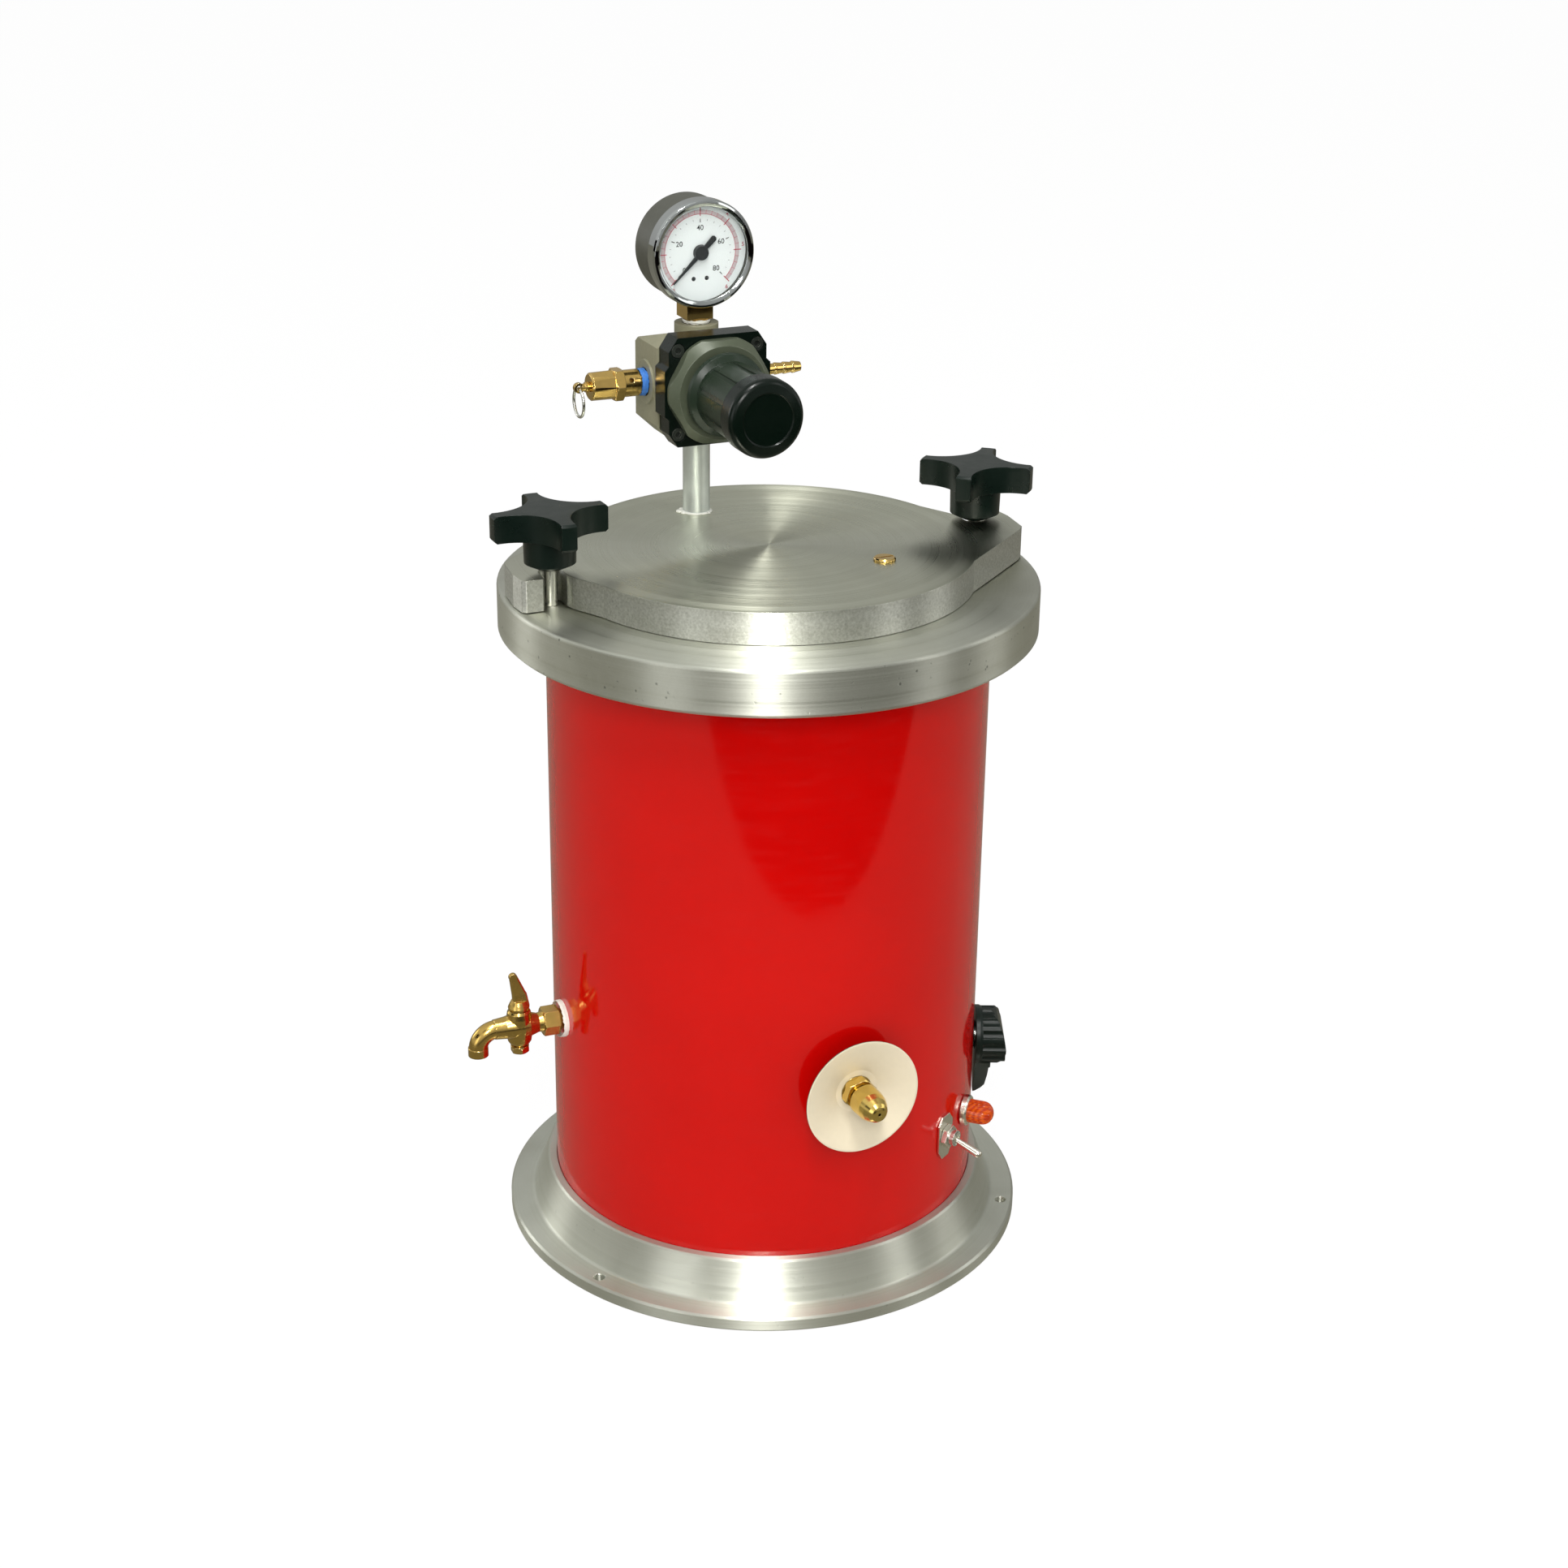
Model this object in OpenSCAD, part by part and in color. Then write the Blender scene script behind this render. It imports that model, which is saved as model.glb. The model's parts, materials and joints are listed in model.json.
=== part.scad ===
// Jewelry wax injector: a heated, air-pressured wax pot in a red steel shell,
// with a bayonet lid, a regulator and gauge on the lid, a spring nozzle in
// front, a drain cock on the left, and switch, lamp and thermostat on the right.
// Millimetres. The tank axis is Z, the table is z = 0, and the nozzle points to -Y.

/* [Tank] */
// Outside diameter of the painted shell
shell_d = 165.1; // [150:0.1:180]
// Wall of the painted shell
shell_t = 1.2; // [0.8:0.1:1.8]
// Height of the shell's lower edge above the table
shell_bottom = 5.7; // [5.7:0.1:8]
// Length of the painted shell
shell_h = 241.3; // [235:0.1:260]
// Inside diameter of the wax pot
pot_d = 130; // [122:0.5:133]
// Wall of the wax pot
pot_t = 4; // [3:0.1:5]
// Thickness of the wax pot's floor
pot_floor = 6; // [4:0.1:8]
// Distance from the table to the underside of the wax pot
pot_bottom = 76.4; // [75:0.1:78]

/* [Base flange] */
// Diameter of the base plate
base_d = 202.4; // [198:0.1:215]
// Thickness of the base plate
base_t = 5.7; // [5:0.1:5.7]
// Height of the hub that holds the shell
hub_top = 21.2; // [18:0.1:26]
// Width of the hub's wall at its top
hub_wall = 3; // [2:0.1:4]
// Width of the hub's foot beyond its top
hub_flare = 5.6; // [4:0.1:6.5]
// Distance of the bench screw holes from the base plate's edge
base_inset = 4.7; // [4:0.1:6.5]
// Radius of each bench screw hole
base_hole_r = 2.2; // [1.8:0.1:2.6]

/* [Top flange and lid] */
// Diameter of the top flange
flange_d = 199.6; // [198:0.1:215]
// Thickness of the top flange
flange_t = 17.5; // [15:0.1:20]
// Depth of the groove that takes the shell
shell_groove = 3; // [2:0.1:4]
// Diameter of the lid's disc
lid_d = 152; // [149:0.1:156]
// Thickness of the lid
lid_t = 11.8; // [10:0.1:14]
// Distance from the tank axis to each lid stud
stud_reach = 84.8; // [84:0.1:87]
// Radius of the lid studs
stud_r = 2.4; // [2:0.1:3]
// How far an ear of the lid reaches past its stud's axis
ear_past = 13.4; // [12:0.1:14]
// Half width of each lid ear at its outer end
ear_half = 18.6; // [14:0.1:22]
// Reach of each lug past its stud
ear_tip = 6.8; // [4:0.1:8]

/* [Star knobs] */
// Reach of each arm of a star knob
knob_arm = 21.3; // [20:0.1:23]
// Height of the arms
knob_arm_h = 10.1; // [9:0.1:13]
// Height of the stem under the arms
knob_stem_h = 11.8; // [10:0.1:16]
// Gap under the left knob, which isn't screwed right down
left_lift = 1.2; // [0:0.1:2]
// Radius of the stem under the arms
knob_stem_r = 9.3; // [8:0.1:10]

/* [Nozzle and drain] */
// Height of the nozzle above the table
nozzle_z = 88.8; // [88.6:0.1:94]
// Radius of the nozzle's heat shield
shield_r = 22.5; // [17:0.1:23]
// Wall of the heat shield
shield_t = 0.9; // [0.8:0.1:1.4]
// Travel of the nozzle when a mould is pressed on it
nozzle_travel = 2; // [1:0.1:2.4]
// Direction of the drain cock, in degrees from the nozzle
drain_az = -92.5; // [-100:0.5:-80]
// Height of the drain cock above the table
drain_z = 93.2; // [91:0.1:95]

/* [Controls] */
// Direction of the switch, in degrees from the nozzle
switch_az = 33; // [30:0.5:35]
// Height of the switch
switch_z = 52.2; // [48:0.1:58]
// Resting tilt of the switch lever, in degrees below level
switch_tilt = 17; // [12:1:20]
// Direction of the pilot lamp
lamp_az = 46; // [45:0.5:52]
// Height of the pilot lamp
lamp_z = 53.7; // [50:0.1:58]
// Direction of the thermostat
thermo_az = 66; // [64:0.5:80]
// Height of the thermostat
thermo_z = 71.7; // [68:0.1:74]
// Reach of the thermostat knob's pointer
thermo_reach = 25.2; // [23:0.1:27]

/* [Air head] */
// Sideways place of the air pipe on the lid
pipe_x = -8.8; // [-14:0.1:0]
// Backward place of the air pipe on the lid
pipe_y = 48.5; // [46:0.1:52]
// Radius of the air pipe
pipe_r = 5.15; // [4.8:0.05:5.4]
// Height of the regulator's axis above the lid
reg_rise = 52; // [50:0.1:60]
// Width of the regulator across its side ports
reg_w = 40; // [38:0.1:44]
// Height of the regulator across its upper and lower ports
reg_h = 39.6; // [38:0.1:44]
// Radius of the regulator knob
reg_knob_r = 13.6; // [13.4:0.1:14.2]
// Height of the gauge's centre above the regulator's axis
gauge_rise = 47; // [46.4:0.1:54]
// Radius of the gauge's bezel
gauge_r = 19.9; // [19:0.05:20.5]

/* [Hidden] */
base_pcd = base_d - 2 * base_inset;
ear_reach = stud_reach + ear_past;
$fn = 96;
small = 40;
eps = 0.01;
// Gap round a piece that is fixed in its hole, and round one that moves
fix_gap = 0.1;
run_gap = 0.3;
turn_gap = 0.05;

shell_r = shell_d / 2;
shell_in = shell_r - shell_t;
shell_top = shell_bottom + shell_h;
pot_r = pot_d / 2;
pot_out = pot_r + pot_t;
flange_z = shell_top - shell_groove;
flange_top = flange_z + flange_t;
lid_z = flange_top + run_gap;
lid_top = lid_z + lid_t;
slot_r = stud_r + 2;
knob_z = lid_top + run_gap;
knob_arm_z = knob_z + knob_stem_h;
knob_top = knob_arm_z + knob_arm_h;
reg_z = lid_top + reg_rise;
gauge_z = reg_z + gauge_rise;
face = shell_r + run_gap;

ALUMINIUM = [0.72, 0.73, 0.71];
RED = [0.78, 0.08, 0.05];
BRASS = [0.78, 0.58, 0.24];
STEEL = [0.75, 0.75, 0.74];
BLACK = [0.07, 0.08, 0.07];
OLIVE = [0.40, 0.40, 0.34];
CREAM = [0.86, 0.82, 0.71];

// ---- shared forms ----

// Turns a piece drawn along +Z so that it points out of the tank at az, height z.
module radial(az, z) {
    rotate([0, 0, az]) translate([0, 0, z]) rotate([90, 0, 0]) children();
}

// A frame on the air pipe's axis at height z whose +Z points to the front.
module head(z) {
    translate([pipe_x, pipe_y, z]) rotate([90, 0, 0]) children();
}

module tube(r_out, r_in, h) {
    difference() {
        cylinder(r = r_out, h = h);
        translate([0, 0, -1]) cylinder(r = r_in, h = h + 2);
    }
}

// A hexagonal prism with its corners turned down at both ends.
module hex(across, h, turn = 0) {
    corner = across / sqrt(3);
    rim = (corner - across / 2) * 0.8;
    intersection() {
        rotate([0, 0, turn]) cylinder(r = corner, h = h, $fn = 6);
        rotate_extrude($fn = small)
            polygon([[0, 0], [corner - rim, 0], [corner, rim * 0.6],
                     [corner, h - rim * 0.6], [corner - rim, h], [0, h]]);
    }
}

// Points on an arc about [x, y], from angle a to b.
function arc(x, y, r, a, b, n) =
    [for (i = [0:n]) [x + r * cos(a + (b - a) * i / n), y + r * sin(a + (b - a) * i / n)]];

// Height of a round tube's wall over a line sideways of its axis.
function wall_at(r, side) = sqrt(r * r - side * side);

// ---- base ----

cover_r = 77.7;
cover_t = 1.2;
cover_z = 0.8;
base_bore = 72;
cover_screw_reach = 74.8;

module base_flange() {
    r = base_d / 2;
    edge = 0.8;
    seat = shell_r + 0.15;
    top_r = seat + hub_wall;
    foot_r = top_r + hub_flare;
    fillet = 1.6;
    color(ALUMINIUM) difference() {
        rotate_extrude($fn = 180) polygon(concat(
            [[base_bore, cover_z + cover_t + 0.2], [cover_r + 0.3, cover_z + cover_t + 0.2],
             [cover_r + 0.3, 0], [r - edge, 0], [r, edge], [r, base_t - edge], [r - edge, base_t]],
            arc(foot_r + fillet, base_t + fillet, fillet, 270, 190, 4),
            [[top_r + 0.5, hub_top - 0.7], [top_r - 0.2, hub_top], [seat, hub_top],
             [seat, shell_bottom], [base_bore, shell_bottom]]));
        for (a = [-63.7, 56.3, 176.3])
            rotate([0, 0, a]) translate([0, -base_pcd / 2, -1])
                cylinder(r = base_hole_r, h = hub_top + 2, $fn = small);
        for (a = [0:120:240])
            rotate([0, 0, a]) translate([0, cover_screw_reach, 0])
                cylinder(r = 1.4 + fix_gap, h = shell_bottom - 0.6, $fn = small);
    }
}

module bottom_cover() {
    color(STEEL) translate([0, 0, cover_z]) difference() {
        cylinder(r = cover_r, h = cover_t, $fn = 120);
        for (a = [0:120:240])
            rotate([0, 0, a]) translate([0, cover_screw_reach, -1])
                cylinder(r = 1.4 + fix_gap, h = cover_t + 2, $fn = small);
        for (a = [0:30:330], reach = [34, 44])
            rotate([0, 0, a + reach]) translate([reach, 0, -1])
                cylinder(r = 2.2, h = cover_t + 2, $fn = 24);
    }
}

module bottom_screws() {
    color(STEEL) for (a = [0:120:240]) rotate([0, 0, a]) translate([0, cover_screw_reach, 0]) {
        difference() {
            translate([0, 0, 0.1]) cylinder(r = 2.6, h = cover_z - 0.1, $fn = small);
            translate([-3, -0.3, 0]) cube([6, 0.6, 0.4]);
        }
        translate([0, 0, cover_z]) cylinder(r = 1.4, h = 3.6, $fn = small);
    }
}

// ---- shell, pot and heater ----

nozzle_tube_r = 6;
drain_tube_r = 4.1;
cord_az = 180;
cord_z = 36;
cord_neck_r = 5.4;
lamp_stem_r = 3.9;
bushing_r = 3.1;
thermo_bush_r = 5;

module shell_hole(az, z, r) {
    radial(az, z) translate([0, 0, shell_in - 4]) cylinder(r = r, h = 10, $fn = 48);
}

module outer_shell() {
    color(RED) difference() {
        translate([0, 0, shell_bottom]) difference() {
            cylinder(r = shell_r, h = shell_h, $fn = 180);
            translate([0, 0, -1]) cylinder(r = shell_in, h = shell_h + 2, $fn = 180);
        }
        shell_hole(0, nozzle_z, nozzle_tube_r + fix_gap);
        shell_hole(drain_az, drain_z, drain_tube_r + fix_gap);
        shell_hole(switch_az, switch_z, bushing_r + fix_gap);
        shell_hole(lamp_az, lamp_z, lamp_stem_r + fix_gap);
        shell_hole(thermo_az, thermo_z, thermo_bush_r + fix_gap);
        shell_hole(cord_az, cord_z, cord_neck_r + fix_gap);
    }
}

module wax_pot() {
    h = flange_z - pot_bottom;
    corner = 5;
    color(ALUMINIUM) difference() {
        translate([0, 0, pot_bottom]) rotate_extrude($fn = 120) polygon(concat(
            [[0, 0], [pot_out - 2, 0], [pot_out, 2], [pot_out, h], [pot_r, h]],
            arc(pot_r - corner, pot_floor + corner, corner, 0, -90, 5),
            [[0, pot_floor]]));
        radial(0, nozzle_z) translate([0, 0, pot_r - 6])
            cylinder(r = nozzle_tube_r + fix_gap, h = pot_t + 12, $fn = 48);
        radial(drain_az, drain_z) translate([0, 0, pot_r - 6])
            cylinder(r = drain_tube_r + fix_gap, h = pot_t + 12, $fn = 48);
        translate([0, 0, pot_bottom - 1]) cylinder(r = heater_screw_r + fix_gap, h = 5, $fn = small);
    }
}

heater_screw_r = 3;
heater_h = 7;
bar_t = 3;

module heater_plate() {
    ring_r = 55;
    color([0.55, 0.50, 0.46]) difference() {
        union() {
            translate([0, 0, pot_bottom - heater_h]) rotate_extrude($fn = 96)
                polygon([[16, 0], [ring_r - 1, 0], [ring_r, 1], [ring_r, heater_h],
                         [16, heater_h]]);
            for (s = [-1, 1]) translate([s * 5, ring_r - 1, pot_bottom - heater_h / 2])
                rotate([-90, 0, 0]) cylinder(r = 1.8, h = 8, $fn = 24);
        }
        for (r = [25, 42]) translate([0, 0, pot_bottom - heater_h - 1])
            difference() {
                cylinder(r = r + 3, h = 2, $fn = 72);
                translate([0, 0, -1]) cylinder(r = r - 3, h = 4, $fn = 72);
            }
    }
}

bar_len = pot_d * 0.74;
bar_w = 14;

module heater_clamp_bar() {
    color(STEEL) difference() {
        translate([-bar_len / 2, -bar_w / 2, pot_bottom - heater_h - bar_t]) cube([bar_len, bar_w, bar_t]);
        translate([0, 0, pot_bottom - heater_h - bar_t - 1])
            cylinder(r = heater_screw_r + fix_gap, h = bar_t + 2, $fn = small);
    }
}

module heater_clamp_screw() {
    z = pot_bottom - heater_h - bar_t;
    color(STEEL) {
        translate([0, 0, z - 4]) hex(10, 4);
        translate([0, 0, z]) cylinder(r = heater_screw_r, h = heater_h + bar_t + 3.8, $fn = small);
    }
}

module insulation_sleeve() {
    color([0.90, 0.86, 0.62]) difference() {
        translate([0, 0, pot_bottom + 4])
            tube(shell_in - run_gap, pot_out + run_gap, flange_z - pot_bottom - 4 - run_gap);
        radial(0, nozzle_z) cylinder(r = nozzle_tube_r + 0.6, h = shell_r, $fn = 48);
        radial(drain_az, drain_z) cylinder(r = drain_tube_r + 0.6, h = shell_r, $fn = 48);
    }
}

module cord_grommet() {
    neck_in = shell_in - 3;
    color(BLACK) radial(cord_az, cord_z) difference() {
        union() {
            translate([0, 0, neck_in - 2]) cylinder(r = cord_neck_r + 1.2, h = 1.6, $fn = 48);
            translate([0, 0, neck_in - 1]) cylinder(r = cord_neck_r, h = 6, $fn = 48);
            translate([0, 0, face]) cylinder(r1 = 8.5, r2 = 7, h = 3, $fn = 48);
        }
        translate([0, 0, neck_in - 4]) cylinder(r = 3.5, h = 14, $fn = 48);
    }
}

// ---- nozzle ----

tip_neck_r = 2.9;
shield_hub_z = face + 0.1;
shield_hub_r = 9;
shield_depth = 5.1;
adapter_hex = 11.2;
adapter_hex_h = 4.2;
hex_z = shield_hub_z + shield_t + 0.05;
tip_z = hex_z + adapter_hex_h + nozzle_travel + run_gap;
tip_len = 12.7;
collar_r = 4.3;
collar_depth = nozzle_travel + 0.4;
spring_z = pot_out + 1.5;
spring_len = 8;

module nozzle_adapter() {
    color(BRASS) radial(0, nozzle_z) difference() {
        union() {
            translate([0, 0, pot_r - 1]) cylinder(r = nozzle_tube_r, h = hex_z - pot_r + 1 + eps, $fn = 48);
            translate([0, 0, hex_z]) hex(adapter_hex, adapter_hex_h, 15);
        }
        translate([0, 0, pot_r - 2]) cylinder(r = 1.6, h = 8, $fn = small);
        translate([0, 0, spring_z]) cylinder(r = tip_neck_r + turn_gap, h = 40, $fn = small);
        translate([0, 0, hex_z + adapter_hex_h - collar_depth])
            cylinder(r = collar_r + run_gap, h = collar_depth + 1, $fn = 48);
    }
}

module nozzle_shield() {
    lip = 0.7;
    color(CREAM) radial(0, nozzle_z) translate([0, 0, shield_hub_z]) rotate_extrude($fn = 120)
        polygon([[nozzle_tube_r + fix_gap, 0], [shield_hub_r, 0],
                 [shield_r - lip, shield_depth], [shield_r, shield_depth + 0.5],
                 [shield_r, shield_depth + shield_t], [shield_r - lip, shield_depth + shield_t],
                 [shield_hub_r - 0.6, shield_t], [nozzle_tube_r + fix_gap, shield_t]]);
}

// A closed round wire that winds along +Z, with its ends square to the axis.
module coil(r, wire, len, turns, steps = 16, sides = 6) {
    n = turns * steps;
    ring = [for (i = [0:n], j = [0:sides - 1])
        let (a = 360 * i / steps, b = 360 * j / sides, rr = r + wire * cos(b))
        [rr * cos(a), rr * sin(a), wire + (len - 2 * wire) * i / n + wire * sin(b)]];
    walls = [for (i = [0:n - 1], j = [0:sides - 1])
        let (p = i * sides + j, q = i * sides + (j + 1) % sides)
        each [[p, p + sides, q], [q, p + sides, q + sides]]];
    ends = concat([for (j = [1:sides - 2]) [0, j, j + 1]],
                  [for (j = [1:sides - 2]) [n * sides, n * sides + j + 1, n * sides + j]]);
    polyhedron(ring, concat(walls, ends), convexity = 10);
}

module nozzle_spring() {
    color(STEEL) radial(0, nozzle_z) translate([0, 0, spring_z + 0.1])
        coil(tip_neck_r - 0.7, 0.35, spring_len - 0.2, 6);
}

module nozzle_tip() {
    neck_z = spring_z + spring_len;
    base = 6.2;
    color(BRASS) radial(0, nozzle_z) difference() {
        union() {
            translate([0, 0, neck_z]) cylinder(r = tip_neck_r, h = tip_z - neck_z + eps, $fn = small);
            translate([0, 0, hex_z + adapter_hex_h - 0.1])
                cylinder(r = collar_r, h = tip_z - hex_z - adapter_hex_h + 0.1 + eps, $fn = 48);
            translate([0, 0, tip_z]) intersection() {
                rotate([0, 0, 15]) cylinder(r = base * 1.06, h = tip_len, $fn = 6);
                rotate_extrude($fn = 60)
                    polygon([[0, 0], [base - 0.5, 0], [base, 0.6], [base, 2.2], [5.8, 4.2],
                             [5.6, 6.6], [4.9, 9], [3.9, 11.2], [2.9, 12.4], [2, tip_len], [0, tip_len]]);
            }
        }
        translate([0, 0, neck_z - 1]) cylinder(r = 0.6, h = 40, $fn = 24);
        translate([0, 0, neck_z - 1]) cylinder(r = 1.5, h = tip_z - neck_z + 6, $fn = 24);
    }
}

// ---- drain cock ----

drain_hex_z = face + 1.9;
drain_hex_h = 6.3;
barrel_z = drain_hex_z + 15.2;
barrel_r = 4.8;
barrel_half = 7;
plug_r = 2.8;
spout_r = 3.6;
bend_r = 7;
spout_drop = 9.6;
spout_bend_z = barrel_z + 9.3;
outlet_r = 2.2;

module drain_washer() {
    color([0.93, 0.92, 0.88]) radial(drain_az, drain_z) translate([0, 0, face])
        tube(7.4, drain_tube_r + fix_gap, 1.7);
}

// A quarter bend from +Z down to -Y, starting at the frame's origin.
module spout_bend(r) {
    translate([0, -bend_r, 0]) rotate([0, 90, 0]) rotate([0, 0, 90])
        rotate_extrude(angle = 90, $fn = 96) translate([bend_r, 0]) circle(r = r, $fn = 48);
}

module drain_body() {
    bell = 0.25;
    color(BRASS) radial(drain_az, drain_z) difference() {
        union() {
            rotate_extrude($fn = 72) polygon([[0, pot_r - 1], [drain_tube_r, pot_r - 1],
                [drain_tube_r, drain_hex_z + 1], [4, drain_hex_z + drain_hex_h], [3.7, drain_hex_z + 8],
                [4.9, barrel_z - 3.4], [5.3, barrel_z - 1], [5, barrel_z + 2.4],
                [4.3, barrel_z + 5.6], [spout_r + bell, spout_bend_z + 0.6], [0, spout_bend_z + 0.6]]);
            translate([0, 0, drain_hex_z]) hex(10, drain_hex_h, 0);
            translate([0, 0, barrel_z]) plug_barrel();
            translate([0, 0, spout_bend_z]) spout_bend(spout_r);
            translate([0, -bend_r + 0.6, spout_bend_z + bend_r]) rotate([90, 0, 0])
                cylinder(r = spout_r + bell, h = spout_drop - bend_r + 0.6, $fn = 48);
        }
        translate([0, 0, pot_r - 2]) cylinder(r = 1.8, h = barrel_z - pot_r + 2, $fn = small);
        translate([0, 0, barrel_z]) cylinder(r = outlet_r, h = spout_bend_z - barrel_z + 0.4, $fn = small);
        translate([0, 0, spout_bend_z]) spout_bend(outlet_r - 0.15);
        translate([0, -bend_r + 0.4, spout_bend_z + bend_r]) rotate([90, 0, 0])
            cylinder(r = outlet_r, h = spout_drop, $fn = small);
        translate([0, barrel_half + 5, barrel_z]) rotate([90, 0, 0])
            cylinder(r = plug_r + turn_gap, h = 2 * barrel_half + 10, $fn = small);
    }
}

// The upright barrel that the plug turns in, swelling at its middle.
module plug_barrel() {
    translate([0, -barrel_half, 0]) rotate([-90, 0, 0]) rotate_extrude($fn = 60)
        polygon(concat([[0, 0], [barrel_r - 0.9, 0]],
            [for (t = [0:6]) [barrel_r - 0.6 * pow(t / 3 - 1, 2) + 0.3, 1 + t * (2 * barrel_half - 2) / 6]],
            [[barrel_r - 0.9, 2 * barrel_half], [0, 2 * barrel_half]]));
}

module drain_plug() {
    foot = barrel_half + run_gap;
    tip = 22.4;
    color(BRASS) radial(drain_az, drain_z) translate([0, 0, barrel_z]) difference() {
        union() {
            translate([0, foot, 0]) rotate([90, 0, 0])
                cylinder(r = plug_r, h = 2 * barrel_half + 2 * run_gap + 0.6, $fn = small);
            translate([0, foot, 0]) rotate([-90, 0, 0]) rotate_extrude($fn = 48)
                polygon([[0, 0], [4, 0], [4.1, 0.8], [3.5, 2.2], [2.9, 3.4], [0, 3.4]]);
            wing(foot + 1.2, 6.2, 3.4, -0.9, foot + 6, 5.6, 2.6, -0.3);
            wing(foot + 5.8, 5.6, 2.6, -0.3, tip - 1.6, 3.2, 1.9, 1.9);
            translate([0, tip - 1.7, 1.9]) rotate([0, 90, 0]) cylinder(r = 1.6, h = 1.9, center = true, $fn = 32);
        }
        cylinder(r = 1.8, h = 20, center = true, $fn = small);
    }
}

// One length of the plug's lever, from height y0 to y1, with its width, thickness and lean at each.
module wing(y0, w0, t0, z0, y1, w1, t1, z1) {
    hull() {
        translate([0, y0, z0]) rotate([-90, 0, 0]) linear_extrude(0.3) offset(0.8, $fn = 16)
            square([t0 - 1.6, w0 - 1.6], center = true);
        translate([0, y1, z1]) rotate([-90, 0, 0]) linear_extrude(0.3) offset(0.8, $fn = 16)
            square([t1 - 1.6, w1 - 1.6], center = true);
    }
}

module drain_nut() {
    color([0.55, 0.47, 0.34]) radial(drain_az, drain_z)
        translate([0, -barrel_half - 2 * run_gap - 0.3, barrel_z]) rotate([90, 0, 0]) {
            translate([0, 0, 0.1]) tube(3.5, plug_r - 0.7, 0.7);
            translate([0, 0, 0.8]) hex(6.2, 2.2);
        }
}

// ---- switch ----

switch_pivot = shell_r + 3.2;
bushing_top = shell_r + 5.6;
switch_plate_z = shell_r + 0.1;

module switch_body() {
    back = shell_in - 17;
    color(BLACK) radial(switch_az, switch_z) difference() {
        union() {
            translate([-6.4, -10, back]) cube([12.8, 20, 16]);
            translate([0, 0, back + 15]) cylinder(r = bushing_r, h = bushing_top - back - 15, $fn = 48);
            for (y = [-6.5, 0, 6.5]) translate([-2, y - 0.4, back - 6]) cube([4, 0.8, 6.5]);
        }
        translate([0, 0, switch_pivot - 4]) cylinder(r = 2.1, h = 20, $fn = small);
        translate([0, 0, switch_pivot - 0.4]) cylinder(r1 = 2.1, r2 = 2.7, h = bushing_top - switch_pivot + 0.5, $fn = small);
    }
}

module switch_plate() {
    color(STEEL) radial(switch_az, switch_z) translate([0, 0, switch_plate_z]) difference() {
        linear_extrude(0.8) polygon([[-2.4, 8.6], [2.4, 8.6], [5, 5.4], [5, -5.6], [2.4, -9.4],
                                     [-2.4, -9.4], [-5, -5.6], [-5, 5.4]]);
        translate([0, 0, -1]) cylinder(r = bushing_r + fix_gap, h = 3, $fn = small);
    }
}

module switch_nut() {
    color(STEEL) radial(switch_az, switch_z) translate([0, 0, switch_plate_z + 0.9]) difference() {
        hex(8, 2.4, 10);
        translate([0, 0, -1]) cylinder(r = bushing_r + fix_gap, h = 5, $fn = small);
    }
}

module switch_lever() {
    color(STEEL) radial(switch_az, switch_z) translate([0, 0, switch_pivot])
        rotate([switch_tilt, 0, 0]) {
            sphere(r = 1.8, $fn = 40);
            cylinder(r1 = 1, r2 = 1.55, h = 12.4, $fn = small);
            translate([0, 0, 12.4]) sphere(r = 1.55, $fn = 40);
        }
}

// ---- pilot lamp ----

lens_r = 4.6;
bezel_h = 2.6;
lens_z = face + bezel_h;

module lamp_body() {
    color([0.85, 0.82, 0.75]) radial(lamp_az, lamp_z) {
        translate([0, 0, shell_in - 15]) cylinder(r = lamp_stem_r, h = lens_z - shell_in + 15 - 0.1, $fn = 48);
        translate([0, 0, lens_z - 0.2]) cylinder(r = 2.4, h = 4.5, $fn = small);
        translate([0, 0, lens_z + 4.3]) sphere(r = 2.4, $fn = 40);
        for (x = [-1.6, 1.6]) translate([x - 0.3, -0.8, shell_in - 21]) cube([0.6, 1.6, 7]);
    }
}

module lamp_bezel() {
    color(STEEL) radial(lamp_az, lamp_z) translate([0, 0, face]) rotate_extrude($fn = 72)
        polygon([[lamp_stem_r + fix_gap, 0], [6, 0], [6, bezel_h - 0.8], [5.6, bezel_h - 0.2],
                 [5.1, bezel_h - eps], [lamp_stem_r + fix_gap, bezel_h - eps]]);
}

module lamp_nut() {
    color(STEEL) radial(lamp_az, lamp_z) translate([0, 0, wall_at(shell_in, 5.4) - 2.6]) difference() {
        hex(10, 2.4);
        translate([0, 0, -1]) cylinder(r = lamp_stem_r + fix_gap, h = 5, $fn = small);
    }
}

module lamp_lens() {
    dome = 4.2;
    barrel = 5.2;
    wall = 0.9;
    color([0.90, 0.30, 0.05, 0.8]) radial(lamp_az, lamp_z) translate([0, 0, lens_z]) rotate_extrude($fn = 72)
        polygon(concat([[lens_r - wall, 0], [lens_r, 0], [lens_r, barrel]],
            [for (a = [10:10:90]) [lens_r * cos(a), barrel + dome * sin(a)]],
            [for (a = [90:-10:10]) [(lens_r - wall) * cos(a), barrel + (dome - wall) * sin(a)]],
            [[lens_r - wall, barrel]]));
}

// ---- thermostat ----

shaft_r = 3;
skirt_z = shell_r + 0.7;
grip_h = 11.9;
grip_r = 11.3;
nose_h = 6.2;

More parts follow.
